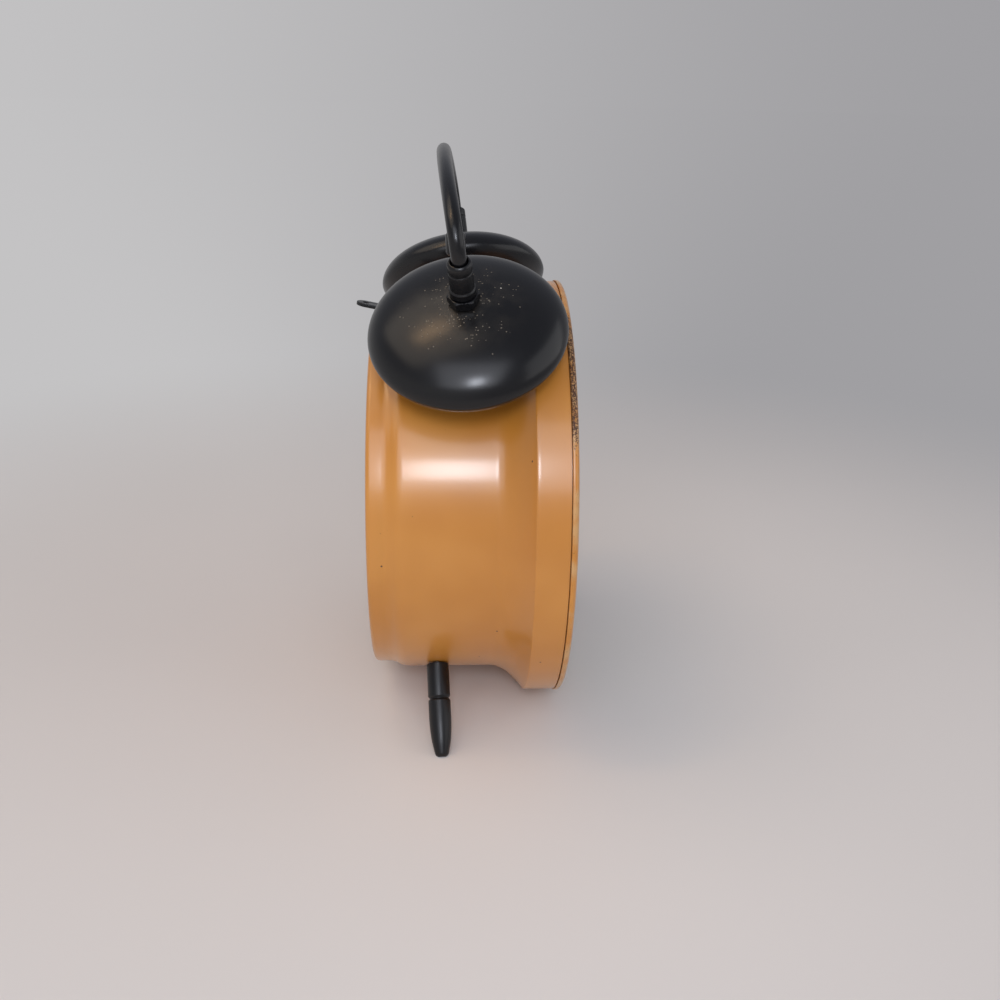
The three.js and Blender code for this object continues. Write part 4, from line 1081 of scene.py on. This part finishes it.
def makePost(name, side):
    p = post
    turns = int((p["start"] - 0.6 - p["bottom"]) / p["pitch"])
    ridge = p["bottom"] + 0.4 + np.arange(turns) * p["pitch"]
    thread = np.stack([np.tile([p["thread"] - 0.3, p["thread"]], turns), np.repeat(ridge, 2)], 1)
    thread[1::2, 1] += p["pitch"] / 2
    corners = [
        (p["thread"] - 0.3, p["start"] - 0.3),
        (p["sleeve"] - 0.3, p["start"]),
        (p["sleeve"], p["start"] + 0.3),
        (p["sleeve"], p["sleeveEnd"]),
        (p["thread"], p["sleeveEnd"]),
        (p["thread"], p["top"]),
        (0, p["top"]),
    ]
    end = [(0, p["bottom"]), (p["thread"] - 0.5, p["bottom"])]
    body = np.vstack([end, thread, rounded(corners, [0, 0.1, 0.2, 0.2, 0, 0.2, 0])])
    rod = turnedPiece(f"bellPost{name.title()}", body, postPlace(side), sides=48, sharp=50)
    standsFor(rod, "root", "steel", steel, f"bell_post_{name}")


for postName, postSide in bothSides.items():
    makePost(postName, postSide)
print("posts made")


# Hammer arm: the wire, its arbor between the plates and the verge on it
arm = {
    "wire": 0.8,
    "arbor": 0.75,
    "pivot": 0.5,
    "ends": (16.73, 17.93, 32.15, 33.55),
    "escapeAt": (15.37, 7.73),
    "vergeReach": 9.0,
    "vergeSpread": 40.0,
    "vergeHalf": 0.5,
    "vergeFront": 29.7,
    "vergeBack": 30.3,
}


def makeHammerArm():
    m, h = arm, hammer
    x, z = h["pivot"]
    start, end = (np.array([v[0], h["depth"], v[1]]) + dialPlace[1] for v in (h["pivot"], h["centre"]))
    wire = tubePiece("hammerArm", np.linspace(start, end, 24), m["wire"], side=[0, 1.0, 0], sides=32)
    front, frontShoulder, backShoulder, rear = m["ends"]
    profile = [
        (0, front),
        (m["pivot"], front),
        (m["pivot"], frontShoulder),
        (m["arbor"], frontShoulder),
        (m["arbor"], backShoulder),
        (m["pivot"], backShoulder),
        (m["pivot"], rear),
        (0, rear),
    ]
    arbor = turnedPiece("arbor", np.array(profile), onDial(x, z), sides=32)
    line = math.atan2(m["escapeAt"][1] - z, m["escapeAt"][0] - x)
    verge = []
    for side in (-1, 1):
        a = line + side * math.radians(m["vergeSpread"])
        along, across = np.array([math.cos(a), math.sin(a)]), np.array([-math.sin(a), math.cos(a)])
        shares = np.array([[0, -1], [1, -1], [1, 1], [0, 1]])
        outline = [x, z] + shares[:, :1] * m["vergeReach"] * along + shares[:, 1:] * m["vergeHalf"] * across
        verge.append(sheetPiece("verge", [outline], m["vergeFront"], m["vergeBack"]))
    joinTo(wire, arbor, *verge)
    standsFor(wire, "hammer", "steel", steel, "hammer_arm")


makeHammerArm()


# Rivet of the stop lever: a domed head on the roof and a flat one inside
pin = {
    "at": 38.0,
    "shank": 0.65,
    "head": 2.0,
    "roof": 53.05,
    "height": 0.65,
    "insideTop": 49.56,
    "insideHeight": 0.9,
}


def makeRivet():
    r = pin
    t = np.linspace(0, math.pi / 2, 9)[:-1]
    dome = np.stack([r["head"] * np.cos(t), r["roof"] + r["height"] * np.sin(t)], 1)
    bottom = r["insideTop"] - r["insideHeight"]
    corners = [
        (0, bottom),
        (r["head"], bottom),
        (r["head"], r["insideTop"]),
        (r["shank"], r["insideTop"]),
        (r["shank"], r["roof"]),
        (r["head"], r["roof"]),
    ]
    under = rounded(corners, [0, 0.25, 0.2, 0, 0, 0])
    profile = np.vstack([under, dome[1:], [[0, r["roof"] + r["height"]]]])
    upright = (np.array([[1.0, 0, 0], [0, 0, -1.0], [0, 1.0, 0]]), dialPlace[1] + np.array([0, r["at"], 0]))
    rivet = turnedPiece("stopLeverRivet", profile, upright, sides=48)
    standsFor(rivet, "root", "gloss_black", glossBlack, "stop_lever_rivet")


makeRivet()
print("hammer arm and rivet made")


# Dial: a tin disc with three feet, and its printed track, numerals and alarm ring
dial = {
    "radius": 56.36,
    "front": 12.48,
    "back": 13.08,
    "hole": 3.2,
    "footCircle": 36.0,
    "footRadius": 1.5,
    "footEnd": 16.18,
    "printRise": 0.05,
    "numeralCircle": 36.5,
    "numeralHeight": 10.5,
    "numeralWidth": 0.92,
    "numeralWeight": 0.13,
    "track": (44.2, 47.6),
    "trackLine": 0.28,
    "minuteTick": 0.4,
    "hourTick": 1.1,
    "alarmRing": (20.0, 21.6),
    "alarmTick": 0.3,
    "lumeCircle": 49.2,
    "lumeRadius": 0.85,
    "lumeRise": 0.07,
}


def makeDial():
    d = dial
    hole, radius, front, back = d["hole"], d["radius"], d["front"], d["back"]
    corners = rounded([(hole, back), (hole, front), (radius, front), (radius, back)], 0.12, closed=True)
    disc = turnedPiece("dialPlate", corners, sides=case["sides"], closed=True)
    start, end, radius = d["front"] + 0.3, d["footEnd"], d["footRadius"]
    shank = rounded([(0, start), (radius, start), (radius, end), (0, end)], [0, 0, 0.2, 0])
    feet = circle(d["footCircle"], sides=3, start=math.pi / 2)
    joinTo(disc, *(turnedPiece("foot", shank, onDial(*at), sides=32) for at in feet))
    standsFor(disc, "root", "dial_face", paper, "dial")


# Bars that point at the dial's middle, at clock angles, as thin prisms
def ticks(angles, inner, outer, width):
    a = np.radians(90 - np.asarray(angles, float))[:, None]
    inner, outer, width = (np.broadcast_to(v, a.shape[0])[:, None] for v in (inner, outer, width))
    along = np.hstack([inner, outer, outer, inner])
    across = np.hstack([-width, -width, width, width]) / 2
    x = along * np.cos(a) - across * np.sin(a)
    z = along * np.sin(a) + across * np.cos(a)
    front = np.full_like(x, dial["front"] - dial["printRise"])
    corners = np.concatenate([np.stack([x, front, z], -1), np.stack([x, front + 0.06, z], -1)], 1)
    return prisms("ticks", corners, dialPlace)


def ringOf(radius, width):
    inner, outer = radius - width / 2, radius + width / 2
    front, back = dial["front"] - dial["printRise"], dial["front"] + 0.01
    corners = np.array([(inner, front), (outer, front), (outer, back), (inner, back)])
    return turnedPiece("ring", corners, sides=240, closed=True)


def makeNumeral(number):
    d = dial
    words = bpy.data.curves.new("numeral", "FONT")
    words.body, words.size = str(number), d["numeralHeight"] / 0.72
    words.align_x, words.align_y = "CENTER", "CENTER"
    words.offset, words.extrude = d["numeralWeight"], d["printRise"] / 2
    a = math.radians(90 - 30 * number)
    shape = meshOfCurve(words)
    flat = pointsOf(shape)
    low, high = flat.min(0), flat.max(0)
    flat -= (low + high) / 2  # centred on its own outline
    x = flat[:, 0] * d["numeralWidth"] + d["numeralCircle"] * math.cos(a)
    z = flat[:, 1] + d["numeralCircle"] * math.sin(a)
    depth = d["front"] - d["printRise"] / 2 + 0.01 - flat[:, 2]
    return placeSheet(f"numeral{number}", shape, x, depth, z, dialPlace)


def makePrint():
    d = dial
    inner, outer = d["track"]
    alarmInner, alarmOuter = d["alarmRing"]
    gap = d["trackLine"] / 2
    minutes, quarters = np.arange(60), np.arange(48)
    minuteWidths = np.where(minutes % 5 == 0, d["hourTick"], d["minuteTick"])
    alarmEnds = alarmOuter + np.where(quarters % 4 == 0, 1.2, 0)
    marks = [
        ringOf(inner, d["trackLine"]),
        ringOf(alarmInner, d["trackLine"]),
        ticks(6 * minutes, inner + gap, outer - gap, minuteWidths),
        ticks(7.5 * quarters, alarmInner + gap, alarmEnds, d["alarmTick"]),
    ]
    track = ringOf(outer, d["trackLine"])
    track.name = track.data.name = "dialPrint"
    joinMeshes(track, marks + [makeNumeral(number) for number in range(1, 13)])
    standsFor(track, "root", "hand_black", ink)
    radius, front, back = d["lumeRadius"], d["front"] - d["lumeRise"], d["front"] + 0.01
    spot = rounded([(0, front), (radius, front), (radius, back), (0, back)], [0, 0.06, 0, 0])
    hours = circle(d["lumeCircle"], sides=12)
    glow, *spots = (turnedPiece("spot", spot, onDial(*at), sides=24) for at in hours)
    glow.name = glow.data.name = "dialLume"
    joinMeshes(glow, spots)
    standsFor(glow, "root", "dial_face", lume)


makeDial()
makePrint()
print("dial made")


# Hands: leaf blades with a slot of aged luminous paint, on round bosses
hands = {
    "hour": {
        "length": 27.0,
        "boss": 3.6,
        "blade": 4.4,
        "bore": 2.35,
        "angle": 305,
        "back": 10.18,
        "body": "hour_shaft",
    },
    "minute": {
        "length": 41.0,
        "boss": 2.6,
        "blade": 3.2,
        "bore": 1.0,
        "angle": 60,
        "back": 8.28,
        "body": "centre_shaft",
    },
    "alarm": {
        "length": 19.0,
        "boss": 4.3,
        "blade": 2.4,
        "bore": 3.2,
        "angle": 195,
        "back": 12.08,
        "body": "alarm_indicator",
    },
}
handLook = {"thickness": 0.5, "edge": 0.08, "slot": (0.42, 0.82), "slotHalf": 0.5, "root": 0.32}


# Blade: its half width goes as (1 - root) sin(pi s^1.3)^0.9 + root (1 - s), from the boss (s = 0) to the tip
def bladeWidth(s, blade):
    swell = np.sin(math.pi * s**1.3) ** 0.9 * (1 - handLook["root"])
    return blade / 2 * (swell + handLook["root"] * (1 - s))


def atClock(points, angle):  # turns an outline that points up to a clock angle
    a = math.radians(angle)
    return points @ np.array([[math.cos(a), -math.sin(a)], [math.sin(a), math.cos(a)]])


def makeHand(name, length, boss, blade, bore, angle, back, body):
    s = np.linspace(0, 0.995, 40)
    start = math.sqrt(boss**2 - bladeWidth(0, blade) ** 2)
    y = start + (length - start) * s
    right = np.stack([bladeWidth(s, blade), y], 1)
    rise = math.degrees(math.acos(bladeWidth(0, blade) / boss))
    bossArc = arcOf(boss, 0, 0, 180 - rise, 360 + rise, 48)[1:-1]
    outline = np.vstack([right, [[0, length]], (right * [-1, 1])[::-1], bossArc])
    holes = [circle(bore, sides=40)]
    k = handLook
    front = back - k["thickness"]
    if name != "alarm":
        t = np.linspace(*k["slot"], 24)
        slot = np.stack([bladeWidth(t, blade) * k["slotHalf"], start + (length - start) * t], 1)
        holes.append(np.vstack([slot, (slot * [-1, 1])[::-1]]))
        paint = sheetPiece(f"{name}Lume", [atClock(holes[1] * [0.98, 1], angle)], front + 0.12, back - 0.06)
        standsFor(paint, body, "dial_face", lume)
    turned = [atClock(points, angle) for points in (outline, *holes)]
    hand = sheetPiece(f"{name}Hand", turned, front, back, edge=k["edge"])
    finishName, finish = ("brass", brass) if name == "alarm" else ("hand_black", handBlack)
    standsFor(hand, body, finishName, finish, f"{name}_hand")


for handName, hand in hands.items():
    makeHand(handName, **hand)


# Hand nut: a small dome over the end of the centre arbor
handNut = {"radius": 1.5, "bore": 0.8, "back": 8.0, "shoulder": 7.45, "boreEnd": 7.2, "front": 6.9}


def makeHandNut():
    n = handNut
    corners = [
        (n["bore"], n["back"]),
        (n["radius"], n["back"]),
        (n["radius"], n["shoulder"]),
        (n["radius"] - 0.6, n["front"] + 0.1),
        (0, n["front"]),
        (0, n["boreEnd"]),
        (n["bore"], n["boreEnd"]),
    ]
    dome = turnedPiece("handNut", rounded(corners, [0, 0.1, 0.3, 0.4, 0, 0, 0]), sides=48)
    standsFor(dome, "centre_shaft", "brass", brass)


makeHandNut()
print("hands made")


# Window: glass that bulges a little inside the bezel, its rim flat under the lip
window = {"radius": 57.0, "front": 1.45, "thickness": 1.3, "bulge": 1.1, "flatFrom": 54.3}


def makeWindow():
    w = window
    r = np.linspace(0, w["flatFrom"], 40)
    front = w["front"] - w["bulge"] * (1 - (r / w["flatFrom"]) ** 2)
    face = np.stack([r, front], 1)
    back = w["front"] + w["thickness"]
    rim = [(w["flatFrom"], w["front"]), (w["radius"], w["front"]), (w["radius"], back), (w["flatFrom"], back)]
    rim = rounded(rim, [0, 0.2, 0.2, 0])
    profile = np.vstack([face[:-1], rim, (face + [0, w["thickness"]])[:-1][::-1]])
    pane = turnedPiece("windowGlass", profile, sides=192, sharp=50)
    pane.visible_shadow = False  # the lamps light the dial behind it
    standsFor(pane, "root", "clear_glass", glass, "glass")


# Reflector: the sloping ring between glass and dial
reflector = {
    "radius": 56.4,
    "front": 3.15,
    "collarEnd": 4.65,
    "rearRadius": 56.36,
    "back": 12.18,
    "rearOpening": 51.16,
    "opening": 53.8,
}


def makeReflector():
    r = reflector
    corners = [
        (r["radius"], r["front"]),
        (r["radius"], r["collarEnd"]),
        (r["rearRadius"], r["back"]),
        (r["rearOpening"], r["back"]),
        (r["opening"], r["front"]),
    ]
    ring = turnedPiece("dialReflector", rounded(corners, 0.15, closed=True), sides=case["sides"], closed=True)
    standsFor(ring, "root", "brass", brass, "dial_spacer")


makeWindow()
makeReflector()
print("window made")


# What stays as packed, inside the movement, takes its finish from its slot
def finishMovement():
    finishes = {"brass": brass, "steel": steel, "spring_steel": blueSteel}
    for part in frame["record"]["subparts"]:
        node = nodes[part["node"]]
        if node.hide_render:
            continue
        if not node.material_slots:
            node.data.materials.append(None)
        for holder in node.material_slots:
            holder.material = finishes[part["material_slot"]]


finishMovement()
print("movement finished")


# Set: a pale floor that fades into an even pale room
studio = {
    "floor": "#e0dad6",
    "floorShade": "#d9d4d0",
    "floorRadius": 6000.0,
    "fade": (110.0, 420.0),
    "horizonLeft": "#c4c3c4",
    "horizonRight": "#a09fa2",
    "zenith": "#8a8d96",
}

# Lamps: a key window lamp and a wide sky on the clock's left, a wide warm ceiling and a small warm lamp
# overhead, and a weak wide lamp in front
lamps = {
    "key": {"place": (-624.0, 14.0, 414.0), "size": (104.0, 130.0), "power": 1.1, "colour": "#eff4ff"},
    "sky": {"place": (-930.0, 110.0, 740.0), "size": (1000.0, 760.0), "power": 4.6, "colour": "#f3f6ff"},
    "ceiling": {"place": (-80.0, 820.0, 1500.0), "size": (1400.0, 1400.0), "power": 6.5, "colour": "#fff0dc"},
    "top": {"place": (-82.0, 280.0, 706.0), "size": (60.0, 220.0), "power": 0.32, "colour": "#ffd09a"},
    "front": {"place": (-180.0, -900.0, 420.0), "size": (1100.0, 700.0), "power": 1.9, "colour": "#ffffff"},
}


# Colour of the room in a direction: pale at the horizon, more so on the clock's rear side, and dim overhead
def roomColour(tree, direction):
    parts = addNode(tree, "SeparateXYZ", {}, {0: direction}).outputs
    rearShare = stepBetween(tree, parts["Y"], -0.5, 0.5)
    sides = mixColours(tree, rearShare, studio["horizonRight"], studio["horizonLeft"])
    return mixColours(tree, stepBetween(tree, parts["Z"], 0.03, 0.6), sides, studio["zenith"])


# The floor glows far away, for the camera and in reflections, so that it meets the room without a line
def makeStage():
    s = studio
    rings = np.array([0.0, 300, 900, 2500, s["floorRadius"]])[:, None]
    a = np.arange(64) * 2 * math.pi / 64
    points = np.stack([rings * np.cos(a), rings * np.sin(a), 0 * rings * a], -1)
    floor = gridPiece("studioFloor", points, closedColumns=True, outward=False)
    material, tree, shader, where = newMaterial("matt_paper_floor", Roughness=0.9)
    colour = mixColours(tree, noiseOf(tree, where, 160, 2), s["floor"], s["floorShade"])
    tree.links.new(colour, shader.inputs["Base Color"])
    far = addNode(tree, "VectorMath", {"operation": "LENGTH"}, {0: where}).outputs["Value"]
    fade = stepBetween(tree, far, s["fade"][0] * mm, s["fade"][1] * mm)
    ray = addNode(tree, "LightPath").outputs
    seen = calculate(tree, "ADD", ray["Is Camera Ray"], ray["Is Glossy Ray"])
    seen = calculate(tree, "MINIMUM", calculate(tree, "ADD", seen, ray["Is Transmission Ray"]), 1.0)
    outward = addNode(tree, "VectorMath", {"operation": "NORMALIZE"}, {0: where}).outputs[0]
    glow = addNode(tree, "Emission", {"Strength": 1.0}, {"Color": roomColour(tree, outward)}).outputs[0]
    share = calculate(tree, "MULTIPLY", fade, seen)
    mix = addNode(tree, "MixShader", {}, {0: share, 1: shader.outputs[0], 2: glow})
    tree.links.new(mix.outputs[0], tree.nodes["Material Output"].inputs["Surface"])
    floor.data.materials.append(material)


def softLamp(name, place, size, power, colour):
    lamp = bpy.data.lights.new(name, "AREA")
    lamp.shape, lamp.size, lamp.size_y = "RECTANGLE", size[0] * mm, size[1] * mm
    lamp.energy, lamp.color = power, linear(colour)[:3]
    holder = addObject(name, lamp)
    holder.location = Vector(place) * mm
    holder.rotation_euler = (Vector((0, 0, axisZ)) * mm - holder.location).to_track_quat("-Z", "Y").to_euler()


def makeWorld():
    world = bpy.data.worlds.new("softRoom")
    world.use_nodes = True
    tree = world.node_tree
    direction = addNode(tree, "TexCoord").outputs["Generated"]
    tree.links.new(roomColour(tree, direction), tree.nodes["Background"].inputs["Color"])
    bpy.context.scene.world = world


# Camera: the photograph's view, from the clock's left and above
camera = {
    "place": (-298.40, 3.93, 174.67),
    "back": (-0.92726, 0.05022, 0.37104),
    "right": (-0.05408, -0.99854, 0.0),
    "roll": -1.14,
    "lens": 38.71,
    "sensor": 36.0,
}


def makeCamera():
    view = bpy.data.cameras.new("photoCamera")
    view.lens, view.sensor_width = camera["lens"], camera["sensor"]
    view.clip_start, view.clip_end = 0.01, 20
    holder = addObject("photoCamera", view)
    back, right = (Vector(camera[axis]).normalized() for axis in ("back", "right"))
    up = back.cross(right)
    roll = math.radians(camera["roll"])
    axes = (math.cos(roll) * right - math.sin(roll) * up, math.sin(roll) * right + math.cos(roll) * up, back)
    place = [v * mm for v in camera["place"]]
    holder.matrix_world = Matrix([*zip(*axes, place), (0, 0, 0, 1)])
    bpy.context.scene.camera = holder


makeStage()
makeWorld()
for lampName, lamp in lamps.items():
    softLamp(lampName + "Lamp", **lamp)
makeCamera()
bpy.context.scene.view_settings.view_transform = "Standard"
print("studio made")
